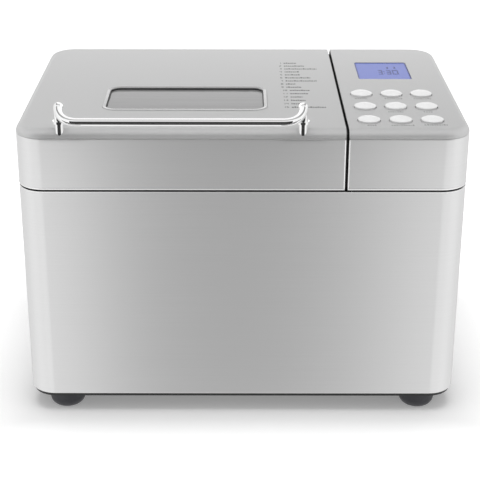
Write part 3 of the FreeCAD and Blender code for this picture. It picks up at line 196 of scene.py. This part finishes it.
def flag(name, corners, axis, stops):
    """A grey studio card that only gloss sees, shaded along one axis; stops are (place, grey) pairs."""
    material, tree = empty_material(name)
    place = world_place(tree)[axis]
    low, high = stops[0][0], stops[-1][0]
    along = node(tree, "ShaderNodeMapRange", {"Value": place, "From Min": low, "From Max": high})
    ramp = node(tree, "ShaderNodeValToRGB", {"Fac": along.outputs[0]})
    ramp.color_ramp.interpolation = "CARDINAL"
    while len(ramp.color_ramp.elements) < len(stops):
        ramp.color_ramp.elements.new(0.5)
    for element, (at, grey) in zip(ramp.color_ramp.elements, stops):
        element.position = (at - low) / (high - low)
        element.color = (grey, grey, grey, 1)
    glow = node(tree, "ShaderNodeEmission", {"Color": ramp.outputs["Color"], "Strength": 1.0})
    node(tree, "ShaderNodeOutputMaterial", {"Surface": glow.outputs[0]})
    card = stage_plane(name, corners, material)
    card.visible_camera = False
    card.visible_diffuse = False
    card.visible_transmission = False
    card.visible_shadow = False


def upright(name, y, half, low, high, axis, stops, middle=0.0):
    """A card that stands across the view, half as wide each way from its middle."""
    left, right = middle - half, middle + half
    corners = [(left, y, low), (right, y, low), (right, y, high), (left, y, high)]
    flag(name, corners, axis, stops)


def black_card(name, y, half, low, high, middle=0.0):
    """A small card close to the rail, for the dark line along its chrome."""
    dark = 0.04
    upright(name, y, half, low, high, Z, [(low, dark), (high, dark)], middle)


def make_front_flags():
    """What the front and the rail see: greys before the front, a dark by the camera, black cards."""
    shades = [
        (-0.60, 0.93), (-0.24, 0.98), (-0.18, 0.785), (-0.12, 0.53), (-0.04, 0.465),
        (0.04, 0.465), (0.13, 0.60), (0.19, 0.785), (0.25, 0.94), (0.60, 0.92),
    ]
    upright("front_flag", y=-0.47, half=0.60, low=-0.32, high=0.20, axis=X, stops=shades)
    dark = [(-0.25, 0.42), (-0.1, 0.3), (0.05, 0.08), (0.85, 0.08), (1.1, 0.4), (1.45, 0.7)]
    upright("camera_flag", y=-1.2, half=0.8, low=-0.25, high=1.45, axis=Z, stops=dark)
    black_card("rail_flag", y=-0.15, half=0.2, low=0.2435, high=0.258)
    low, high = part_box("handle_posts")
    inset = 0.004
    for post in (low.x + inset, high.x - inset):
        black_card("post_flag", y=-0.14, half=0.018, low=0.2375, high=0.248, middle=post)


def make_rear_flags():
    """What the top and the sides see: a card close behind, and greys beside, far behind and above."""
    back = [
        (-0.3, 0.6), (-0.05, 0.66), (0.1, 0.78), (0.2, 1.0), (0.33, 1.0), (0.355, 0.72), (0.42, 0.42),
    ]
    upright("rear_card", y=0.25, half=0.42, low=-0.3, high=0.42, axis=Z, stops=back)
    beside = [(-0.3, 1.0), (-0.12, 0.97), (0.0, 0.9), (0.12, 0.88), (0.25, 0.88), (0.5, 0.92)]
    front, rear, low, high = -0.3, 0.5, -0.4, 0.5
    for side in (-0.55, 0.55):
        wall = [(side, front, low), (side, rear, low), (side, rear, high), (side, front, high)]
        flag("side_flag", wall, Y, beside)
    far = [(0.2, 0.33), (1.3, 0.33), (1.9, 0.5)]
    upright("rear_flag", y=1.5, half=0.85, low=0.2, high=1.9, axis=Z, stops=far, middle=0.4)
    half, front, rear, level = 1.6, -0.8, 1.5, 1.9
    ceiling = [(-half, front, level), (half, front, level), (half, rear, level), (-half, rear, level)]
    flag("top_flag", ceiling, Y, [(-0.8, 0.68), (-0.4, 0.48), (0.1, 0.32), (1.5, 0.33)])


def make_lamp(name, size, watts, place, tilt):
    data = bpy.data.lights.new(name, "AREA")
    data.shape = "RECTANGLE"
    data.size, data.size_y = size
    data.energy = watts
    lamp = bpy.data.objects.new(name, data)
    lamp.location = place
    lamp.rotation_euler = (math.radians(tilt), 0, 0)
    lamp.visible_camera = False
    scene.collection.objects.link(lamp)
    return lamp


def make_lamps():
    """A softbox overhead that gloss doesn't see, and a lamp above the rail that lights it alone."""
    softbox = make_lamp("softbox", size=(1.3, 1.1), watts=14, place=(0, -0.05, 1.7), tilt=0)
    softbox.visible_glossy = False
    low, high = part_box("handle_bar")
    above = ((low.x + high.x) / 2, -0.06, 0.33)
    strip = make_lamp("rail_lamp", size=(0.24, 0.15), watts=0.08, place=above, tilt=-45)
    rail = bpy.data.collections.new("rail")
    for name in ("handle_bar", "handle_posts"):
        rail.objects.link(nodes[name])
    strip.light_linking.receiver_collection = rail


# Materials

def shader(name, base, rough, metallic=0.0, coat=0.0, coat_rough=0.06):
    material = bpy.data.materials.new(name)
    material.use_nodes = True
    tree = material.node_tree
    bsdf = tree.nodes["Principled BSDF"]
    bsdf.inputs["Base Color"].default_value = (*base, 1)
    bsdf.inputs["Roughness"].default_value = rough
    bsdf.inputs["Metallic"].default_value = metallic
    bsdf.inputs["Coat Weight"].default_value = coat
    bsdf.inputs["Coat Roughness"].default_value = coat_rough
    return material, tree, bsdf


def own_place(tree):
    """The shaded point in the part's own coordinates."""
    return node(tree, "ShaderNodeTexCoord").outputs["Object"]


def noise(tree, scale, detail=3.0):
    """Noise in the part's own coordinates; scale is per metre on each axis."""
    mapped = node(tree, "ShaderNodeMapping", {"Vector": own_place(tree), "Scale": scale})
    values = {"Vector": mapped.outputs[0], "Scale": 1.0, "Detail": detail, "Roughness": 0.55}
    return node(tree, "ShaderNodeTexNoise", values).outputs["Fac"]


def spread(tree, value, low, high, start=0.3, end=0.7):
    """A value that runs from start to end, laid out from low to high."""
    values = {"Value": value, "From Min": start, "From Max": end, "To Min": low, "To Max": high}
    return node(tree, "ShaderNodeMapRange", values).outputs[0]


def blend(tree, factor, first, second):
    """A mix of two colours, each of them three numbers or a socket."""
    first_colour, second_colour, mixed_colour = 6, 7, 2
    mixed = node(tree, "ShaderNodeMix", {"Factor": factor}, data_type="RGBA")
    for key, value in ((first_colour, first), (second_colour, second)):
        if isinstance(value, bpy.types.NodeSocket):
            tree.links.new(value, mixed.inputs[key])
        else:
            mixed.inputs[key].default_value = (*value, 1)
    return mixed.outputs[mixed_colour]


def even(value):
    return (value, value, value)


def shaded(base, amount):
    return tuple(min(1.0, c * amount) for c in base)


def surface(tree, bsdf, colour, rough):
    tree.links.new(colour, bsdf.inputs["Base Color"])
    tree.links.new(rough, bsdf.inputs["Roughness"])


def bump(tree, bsdf, height, strength, depth=0.0001):
    made = node(tree, "ShaderNodeBump", {"Height": height, "Strength": strength, "Distance": depth})
    tree.links.new(made.outputs[0], bsdf.inputs["Normal"])


def finish(name, base, rough, scale, tone, vary, relief, **kind):
    """A grained finish: tone, gloss and relief all follow one noise of the given scale."""
    material, tree, bsdf = shader(name, base, rough, **kind)
    grain = noise(tree, scale)
    colour = blend(tree, spread(tree, grain, 0, 1), shaded(base, 1 - tone), shaded(base, 1 + tone))
    surface(tree, bsdf, colour, spread(tree, grain, rough - vary, rough + vary))
    bump(tree, bsdf, grain, relief)
    return material


def zinc(name, base):
    """Galvanised sheet: large soft spangles over a fine grain."""
    material, tree, bsdf = shader(name, base, 0.36, metallic=1.0)
    spangle = node(tree, "ShaderNodeTexVoronoi", {"Vector": own_place(tree), "Scale": 260.0})
    tone = node(tree, "ShaderNodeSeparateColor", {"Color": spangle.outputs["Color"]}).outputs[0]
    colour = blend(tree, tone, shaded(base, 0.86), shaded(base, 1.1))
    surface(tree, bsdf, colour, spread(tree, tone, 0.28, 0.44, start=0, end=1))
    bump(tree, bsdf, noise(tree, even(900)), 0.08)
    return material


def laminated(name, base):
    """Stacked iron sheets: thin level lines up the height."""
    material, tree, bsdf = shader(name, base, 0.42, metallic=0.9)
    lines = node(
        tree, "ShaderNodeTexWave", {"Vector": own_place(tree), "Scale": 320.0, "Distortion": 0.0},
        wave_type="BANDS", bands_direction="Z",
    ).outputs["Fac"]
    colour = blend(tree, lines, shaded(base, 0.7), shaded(base, 1.15))
    surface(tree, bsdf, colour, spread(tree, noise(tree, even(500)), 0.36, 0.5))
    bump(tree, bsdf, lines, 0.25)
    return material


def board(name, top, green, parts):
    """A circuit board: green laminate with pale tracks, and dark components above its face."""
    clear = 0.0001
    material, tree, bsdf = shader(name, green, 0.4, coat=0.2, coat_rough=0.15)
    place = own_place(tree)
    tracks = node(tree, "ShaderNodeTexBrick", {"Vector": place, "Scale": 210.0, "Mortar Size": 0.06})
    copper = blend(tree, tracks.outputs["Fac"], green, shaded(green, 1.7))
    height = node(tree, "ShaderNodeSeparateXYZ", {0: place}).outputs[Z]
    above = maths(tree, "GREATER_THAN", height, top + clear)
    speck = spread(tree, noise(tree, even(600)), 0, 1)
    body = blend(tree, speck, shaded(parts, 0.85), shaded(parts, 1.2))
    colour = blend(tree, above, copper, body)
    surface(tree, bsdf, colour, spread(tree, speck, 0.34, 0.5, start=0, end=1))
    bump(tree, bsdf, tracks.outputs["Fac"], 0.1, depth=0.00005)
    return material


def coating(name):
    """Non-stick coating: near black with fine pale specks."""
    base = (0.034, 0.034, 0.037)
    material, tree, bsdf = shader(name, base, 0.36, coat=0.15, coat_rough=0.2)
    specks = noise(tree, even(1500), detail=1.0)
    pale = spread(tree, specks, 0, 1, start=0.68, end=0.72)
    mottle = blend(tree, spread(tree, noise(tree, even(40)), 0, 1), base, shaded(base, 1.4))
    surface(tree, bsdf, blend(tree, pale, mottle, even(0.2)), spread(tree, specks, 0.3, 0.44))
    bump(tree, bsdf, specks, 0.12)
    return material


def heated(name, base, tint, rough):
    """Bare metal by the heater, tinted in soft clouds by its heat."""
    material, tree, bsdf = shader(name, base, rough, metallic=1.0)
    clouds = spread(tree, noise(tree, (18, 18, 30)), 0, 1)
    grain = noise(tree, (40, 1500, 1500))
    surface(tree, bsdf, blend(tree, clouds, base, tint), spread(tree, grain, rough - 0.06, rough + 0.08))
    bump(tree, bsdf, grain, 0.03)
    return material


def pane(name):
    """The lid's smoked window: part see-through, its tone lighter and darker in faint level streaks."""
    base = even(0.31)
    material, tree, bsdf = shader(name, base, 0.12, coat=0.3, coat_rough=0.03)
    streaks = noise(tree, (6, 160, 6))
    colour = blend(tree, spread(tree, streaks, 0, 1), shaded(base, 0.93), shaded(base, 1.07))
    surface(tree, bsdf, colour, spread(tree, streaks, 0.09, 0.16))
    bsdf.inputs["Transmission Weight"].default_value = 0.25
    return material


def metal_finishes():
    brushed = dict(scale=(9, 9, 1300), tone=0.012, vary=0.02, relief=0.03)
    return {
        "satin_steel": dict(base=even(0.78), rough=0.30, **brushed),
        # The hems' steel is the satin steel made brighter: a painted highlight for their bright lines.
        "hem_steel_painted_highlight": dict(base=even(0.95), rough=0.28, **brushed),
        "cast_alloy": dict(
            base=(0.56, 0.56, 0.57), rough=0.48, scale=even(700), tone=0.08, vary=0.08, relief=0.3),
        "bronze": dict(
            base=(0.58, 0.38, 0.19), rough=0.36, scale=even(900), tone=0.1, vary=0.06, relief=0.1),
        "screw_steel": dict(
            base=(0.56, 0.56, 0.57), rough=0.30, scale=even(1200), tone=0.08, vary=0.06, relief=0.1),
        "chrome": dict(base=even(0.95), rough=0.05, scale=even(300), tone=0.01, vary=0.015, relief=0.01),
        "trim_silver": dict(
            base=even(0.76), rough=0.2, scale=even(1500), tone=0.01, vary=0.02, relief=0.01),
        "bail_wire": dict(
            base=(0.70, 0.70, 0.71), rough=0.20, scale=even(800), tone=0.04, vary=0.05, relief=0.06),
    }


def plastic_finishes():
    """Mouldings, rubbers, display glass and print; those that name no scale have the fine grain."""
    return {
        "silver_moulding": dict(
            base=even(0.74), rough=0.58, tone=0.015, vary=0.02, relief=0.004, metallic=0.65),
        "black_moulding": dict(base=even(0.024), rough=0.48, tone=0.15, vary=0.08, relief=0.35),
        "foot_rubber": dict(base=(0.042, 0.042, 0.05), rough=0.6, tone=0.15, vary=0.08, relief=0.3),
        "belt_rubber": dict(
            base=even(0.028), rough=0.62, scale=(900, 900, 2600), tone=0.2, vary=0.08, relief=0.4),
        "pulley_moulding": dict(base=(0.065, 0.065, 0.07), rough=0.42, tone=0.12, vary=0.06, relief=0.2),
        "capacitor_case": dict(
            base=(0.80, 0.80, 0.77), rough=0.34, scale=even(400), tone=0.03, vary=0.05, relief=0.1,
            coat=0.2),
        "display_glass": dict(
            base=(0.11, 0.16, 0.56), rough=0.22, scale=even(700), tone=0.015, vary=0.02, relief=0.01),
        "display_body": dict(base=(0.78, 0.79, 0.78), rough=0.45, tone=0.04, vary=0.06, relief=0.15),
        "seal_silicone": dict(
            base=(0.30, 0.29, 0.28), rough=0.55, scale=even(800), tone=0.06, vary=0.06, relief=0.15),
        "button_white": dict(base=even(0.92), rough=0.30, tone=0.012, vary=0.04, relief=0.08, coat=0.25),
        "print_grey": dict(base=even(0.12), rough=0.55, tone=0.1, vary=0.05, relief=0.1),
        "label_grey": dict(base=even(0.38), rough=0.55, tone=0.1, vary=0.05, relief=0.1),
        "print_blue": dict(base=(0.07, 0.085, 0.26), rough=0.4, tone=0.05, vary=0.05, relief=0.05),
        # Near black: painted shade for the dark gap between lid and pod.
        "gap_painted_shade": dict(base=even(0.004), rough=0.8, scale=even(800), tone=0.2, vary=0.08, relief=0.3),
        "gasket": dict(base=even(0.05), rough=0.5, scale=even(800), tone=0.12, vary=0.06, relief=0.2),
    }


def make_materials():
    made = {
        "zinc_steel": zinc("zinc_steel", (0.62, 0.63, 0.65)),
        "oven_steel": heated("oven_steel", (0.66, 0.66, 0.65), (0.62, 0.58, 0.50), 0.32),
        "heater_sheath": heated("heater_sheath", (0.20, 0.19, 0.19), (0.15, 0.12, 0.10), 0.45),
        "motor_iron": laminated("motor_iron", (0.34, 0.35, 0.37)),
        "window_glass": pane("window_glass"),
        "pan_coating": coating("pan_coating"),
    }
    for name, look in metal_finishes().items():
        made[name] = finish(name, metallic=1.0, **look)
    fine = {"scale": even(1500)}
    for name, look in plastic_finishes().items():
        made[name] = finish(name, **{**fine, **look})
    return made


def dress(materials):
    """Gives every CAD node the finish of its slot."""
    sheet = 0.0016
    power_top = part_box("power_board")[0].z + sheet
    control_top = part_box("control_board")[0].z + sheet
    boards = {
        "power_board": board("power_board", power_top, (0.03, 0.16, 0.05), even(0.05)),
        "control_board": board("control_board", control_top, (0.03, 0.15, 0.06), even(0.04)),
    }
    for entry in frame["record"]["subparts"]:
        name = entry["node"]
        mesh = nodes[name].data
        mesh.materials.clear()
        mesh.materials.append(boards.get(name) or materials[entry["material_slot"]])


def soften(names, width):
    """Rounds the sharp edges of CAD sheet and mouldings, which catch the light as hems."""
    for name in names:
        weld = nodes[name].modifiers.new("weld", "WELD")
        weld.merge_threshold = 0.000001
        bevel = nodes[name].modifiers.new("edge", "BEVEL")
        bevel.width = width
        bevel.segments = 2
        bevel.limit_method = "ANGLE"
        bevel.angle_limit = math.radians(40)
        nodes[name].modifiers.new("shade", "WEIGHTED_NORMAL").weight = 60


# Building blocks of the pieces

def piece(name, points, faces, material, body):
    mesh = bpy.data.meshes.new(name)
    mesh.from_pydata([mm(*p) for p in points], [], faces)
    mesh.materials.append(material)
    made = bpy.data.objects.new(name, mesh)
    scene.collection.objects.link(made)
    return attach(made, body)


def loop(first, second, count):
    """Quads between two rings of points of the same count."""
    quads = []
    for i in range(count):
        after = (i + 1) % count
        quads.append((first + i, first + after, second + after, second + i))
    return quads


def joined(parts):
    """Several sets of points and faces as one."""
    points, faces = [], []
    for some, sides in parts:
        first = len(points)
        points += some
        faces += [[first + i for i in side] for side in sides]
    return points, faces


def prism(outline, low, high):
    count = len(outline)
    points = [(x, y, z) for z in (low, high) for x, y in outline]
    top = [count + i for i in range(count)]
    return points, loop(0, count, count) + [top, list(reversed(range(count)))]


def rounded(centre, width, depth, radius):
    """The outline of a rounded rectangle, anticlockwise."""
    outline = []
    for turn, (side_x, side_y) in enumerate(((1, 1), (-1, 1), (-1, -1), (1, -1))):
        x = centre[0] + side_x * (width / 2 - radius)
        y = centre[1] + side_y * (depth / 2 - radius)
        for step in range(STEPS + 1):
            angle = math.pi / 2 * (turn + step / STEPS)
            outline.append((x + radius * math.cos(angle), y + radius * math.sin(angle)))
    return outline


def rim(name, body, centre, size, radius, line, low, high, material, lean=0.0):
    """A rounded frame with a soft upper edge, which stands between two levels.

    Its outline has the size and radius, line is how wide it is, and its upper face falls inward by lean.
    """
    width, depth = size
    soft = min(line / 4, 0.1)
    inner_top = high - lean
    profile = (
        (0, low), (0, high - soft), (soft, high),
        (line - soft, inner_top), (line, inner_top - soft), (line, low),
    )
    rings = []
    for inset, level in profile:
        outline = rounded(centre, width - 2 * inset, depth - 2 * inset, radius - inset)
        rings.append([(x, y, level) for x, y in outline])
    count = len(rings[0])
    points = [p for ring in rings for p in ring]
    faces = []
    for i in range(len(rings)):
        faces += loop(i * count, (i + 1) % len(rings) * count, count)
    return piece(name, points, faces, material, body)


def printed(name, body, strokes, level, material):
    """Marks on a level face, each a thin raised block with its own outline."""
    blocks = [prism(outline, level, level + PRINT) for outline in strokes]
    return piece(name, *joined(blocks), material, body)


def bar(x, y, width, height):
    return [(x, y), (x + width, y), (x + width, y + height), (x, y + height)]


SEGMENTS = {
    "0": "abcdef", "1": "bc", "2": "abdeg", "3": "abcdg", "4": "bcfg",
    "5": "acdfg", "6": "acdefg", "7": "abc", "8": "abcdefg", "9": "abcdfg",
}


def figure(digit, x, y, width, height, line, level):
    """The strokes of a seven-segment figure; its upright ones are line thick, its level ones level."""
    half = height / 2
    right = x + width - line
    span = width - 2.2 * line
    inner = x + 1.1 * line
    strokes = {
        "a": bar(inner, y + height - level, span, level),
        "b": bar(right, y + half, line, half),
        "c": bar(right, y, line, half),
        "d": bar(inner, y, span, level),
        "e": bar(x, y, line, half),
        "f": bar(x, y + half, line, half),
        "g": bar(inner, y + half - level / 2, span, level),
    }
    return [strokes[s] for s in SEGMENTS[digit]]


def words(x, y, length, turn):
    """A line of blocks that stands for a line of small print, with no letters in it."""
    widths = (1.7, 1.1, 1.6, 1.4, 0.9)
    heights = (2.5, 3.4, 2.5, 2.5, 3.2, 2.5, 2.5)
    gap, least = 0.55, 0.5
    strokes = []
    end = x + length
    while x < end - least:
        wide = widths[turn % len(widths)]
        tall = heights[turn % len(heights)]
        strokes.append(bar(x, y, min(wide, end - x), tall))
        x += wide + gap
        turn += 1
    return strokes


def corner(x, y, start):
    """A quarter turn round the casing's corner, from the angle start, clockwise seen from above."""
    turn = [start - math.pi / 2 * step / STEPS for step in range(STEPS + 1)]
    return [(x + CORNER * math.cos(a), y + CORNER * math.sin(a)) for a in turn]


def hem(path, low, high, turn):
    """The edge of a steel sheet, turned under along a path with the casing on its left; it shows bright
    by its turn and by the painted highlight of the brighter steel it is given.
    """
    root, lap = -0.3, 0.1
    points = []
    for i, (x, y) in enumerate(path):
        first, last = path[max(i - 1, 0)], path[min(i + 1, len(path) - 1)]
        along_x, along_y = last[0] - first[0], last[1] - first[1]
        size = math.hypot(along_x, along_y)
        out_x, out_y = along_y / size, -along_x / size
        for reach, level in ((root, low), (0.0, low), (turn, high - lap), (root, high)):
            points.append((x + out_x * reach, y + out_y * reach, level))
    faces = [[0, 1, 2, 3], [len(points) - 1 - i for i in range(4)]]
    for i in range(len(path) - 1):
        faces += loop(4 * i + 4, 4 * i, 4)
    return points, faces


# Pieces: rims, folded edges and linings, then the display and the printed marks

def window_rim(name, grow, material, **shape):
    """A rim that follows the window's outline, grown by some millimetres all round."""
    width, depth = WINDOW_SIZE
    size = (width + 2 * grow, depth + 2 * grow)
    rim(name, "lid", WINDOW, size, WINDOW_CORNER + grow, material=material, **shape)


def make_window_rims(materials):
    """The bright trim round the window, and the dark gasket inside it."""
    trim_top = BEZEL_TOP + 0.4
    trim = dict(line=2.6, low=BEZEL_TOP, high=trim_top, lean=0.26)
    window_rim("window_trim", 2.7, materials["trim_silver"], **trim)
    gasket = dict(line=0.65, low=248.62, high=LID_TOP - 0.1)
    window_rim("window_gasket", -0.1, materials["gasket"], **gasket)


def make_base_lip(materials):
    """The dark lip of the base, set back a little under the body."""
    inset = 1.65
    centre = (0, FRONT + BODY_DEPTH / 2)
    size = (2 * (HALF_WIDTH - inset), BODY_DEPTH - 2 * inset)
    shape = dict(radius=CORNER - inset, line=2.0, low=14.2, high=15.6)
    rim("base_lip", "housing", centre, size, material=materials["black_moulding"], **shape)


def edge(gap_face, width):
    """The upright edge of a band at the gap between lid and pod, turned in towards the gap; bright by
    its turn and by a painted highlight in its steel.
    """
    face = gap_face + width
    turned, proud, root = FRONT + 0.25, FRONT - 0.15, FRONT + 0.5
    outline = [(gap_face, turned), (face, proud), (face, root), (gap_face, root)]
    if width < 0:
        outline.reverse()
    return prism(outline, BAND_HEM_TOP, BAND_EDGE_TOP)


def make_hems(materials):
    """The folded edges of the steel bands and the body, which show as bright lines along the seams,
    partly by their turn and partly by a painted highlight: their steel is made brighter.
    """
    rear = 100
    edge_width, body_line = 0.9, 0.9
    band_turn, body_turn = 0.35, 0.06
    turn_x, turn_y = HALF_WIDTH - CORNER, FRONT + CORNER
    left = [(-HALF_WIDTH, rear)] + list(reversed(corner(-turn_x, turn_y, -math.pi / 2)))
    right = list(reversed(corner(turn_x, turn_y, 0))) + [(HALF_WIDTH, rear)]
    lid_hem = hem(left + [(LID_GAP_FACE, FRONT)], BAND_LOW, BAND_HEM_TOP, band_turn)
    pod_hem = hem([(POD_GAP_FACE, FRONT)] + right, BAND_LOW, BAND_HEM_TOP, band_turn)
    body_hem = hem(left + right, BODY_TOP - body_line, BODY_TOP, body_turn)
    # Brighter steel on the hems: a painted highlight.
    steel = materials["hem_steel_painted_highlight"]
    piece("lid_hem", *joined([lid_hem, edge(LID_GAP_FACE, -edge_width)]), steel, "lid")
    piece("pod_hem", *joined([pod_hem, edge(POD_GAP_FACE, edge_width)]), steel, "housing")
    piece("body_hem", *body_hem, steel, "housing")


def make_gap_shade_liner(materials):
    """A thin black sheet on the pod's wall that faces the lid, with the pod's rounded upper corners:
    painted shade for the dark gap between lid and pod.
    """
    front, rear, low, high, radius = -117.4, 130.0, 203.0, 249.8, 6.2
    thick = 0.25
    side = [(front, low)]
    for centre, start in ((front + radius, math.pi), (rear - radius, math.pi / 2)):
        for step in range(STEPS + 1):
            angle = start - math.pi / 2 * step / STEPS
            side.append((centre + radius * math.cos(angle), high - radius + radius * math.sin(angle)))
    side.append((rear, low))
    count = len(side)
    points = [(x, y, z) for x in (POD_GAP_FACE - thick, POD_GAP_FACE) for y, z in side]
    faces = loop(count, 0, count) + [list(reversed(range(count))), [count + i for i in range(count)]]
    # The sheet is painted shade, standing where the gap falls dark.
    piece("gap_shade_liner", points, faces, materials["gap_painted_shade"], "housing")


def make_display(materials):
    """A dark rim round the display, painted shade for its recess, and a plain time and two marks in its
    glass.
    """
    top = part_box("display_lens")[1].z * 1000
    blue = materials["print_blue"]
    # The rim is painted shade: a dark blue ring where the display's recess falls dark.
    shape = dict(radius=1.6, line=0.8, low=top, high=top + 0.2)
    rim("display_shade_rim", "housing", DISPLAY, DISPLAY_SIZE, material=blue, **shape)
    foot, height, line = 41, 14, 1.1
    digits = (("3", 120.6, 4.8, 2.3), ("3", 127.8, 5.2, 2.6), ("0", 134.1, 5.4, 2.6))
    strokes = []
    for digit, x, width, level in digits:
        strokes += figure(digit, x, foot, width, height, line, level)
    for dot_foot in (44.4, 49.6):
        strokes.append(bar(126.4, dot_foot, line, height=2.2))
    for mark in (130.2, 136.6):
        strokes.append(bar(mark, 60, width=1.8, height=5.5))
    printed("display_figures", "housing", strokes, top, blue)


def make_list(materials):
    """The programme list on the lid: plain numbers, each with a line of blocks."""
    lengths = (12, 18, 29, 13, 14, 22, 27, 8, 13, 17, 16, 10, 12, 13, 28)
    left, top, pitch = 33.4, 74.4, 9.6
    advance, gap = 2.7, 1.6
    strokes = []
    for row, length in enumerate(lengths):
        y = top - pitch * row
        x = left
        for digit in str(row + 1):
            strokes += figure(digit, x, y, width=1.9, height=3.4, line=0.5, level=0.7)
            x += advance
        strokes += words(x + gap, y, length, row * 3)
    printed("programme_list", "lid", strokes, LID_TOP, materials["print_grey"])


def make_labels(materials):
    """Small blocks under the buttons in place of their words; each place is a start and a length."""
    places = (
        (94, -35.6, 10), (119, -35.6, 15), (143, -35.6, 15), (118, -72, 13), (147, -72, 8),
        (98, -107.5, 7), (117, -107.5, 18), (143, -106, 19),
    )
    strokes = []
    for turn, (x, y, length) in enumerate(places):
        strokes += words(x, y, length, turn)
    printed("button_labels", "housing", strokes, LID_TOP, materials["label_grey"])


make_camera()
make_world(fill=0.45)
make_floor(front=-0.30, reach=6.0, near=0.22, far=0.63)
make_front_flags()
make_rear_flags()
make_lamps()
materials = make_materials()
dress(materials)
soften(("lid_band", "lid_cover", "pod_band", "control_panel", "body_wrap"), width=0.0008)
make_window_rims(materials)
make_base_lip(materials)
make_hems(materials)
make_gap_shade_liner(materials)
make_display(materials)
make_list(materials)
make_labels(materials)
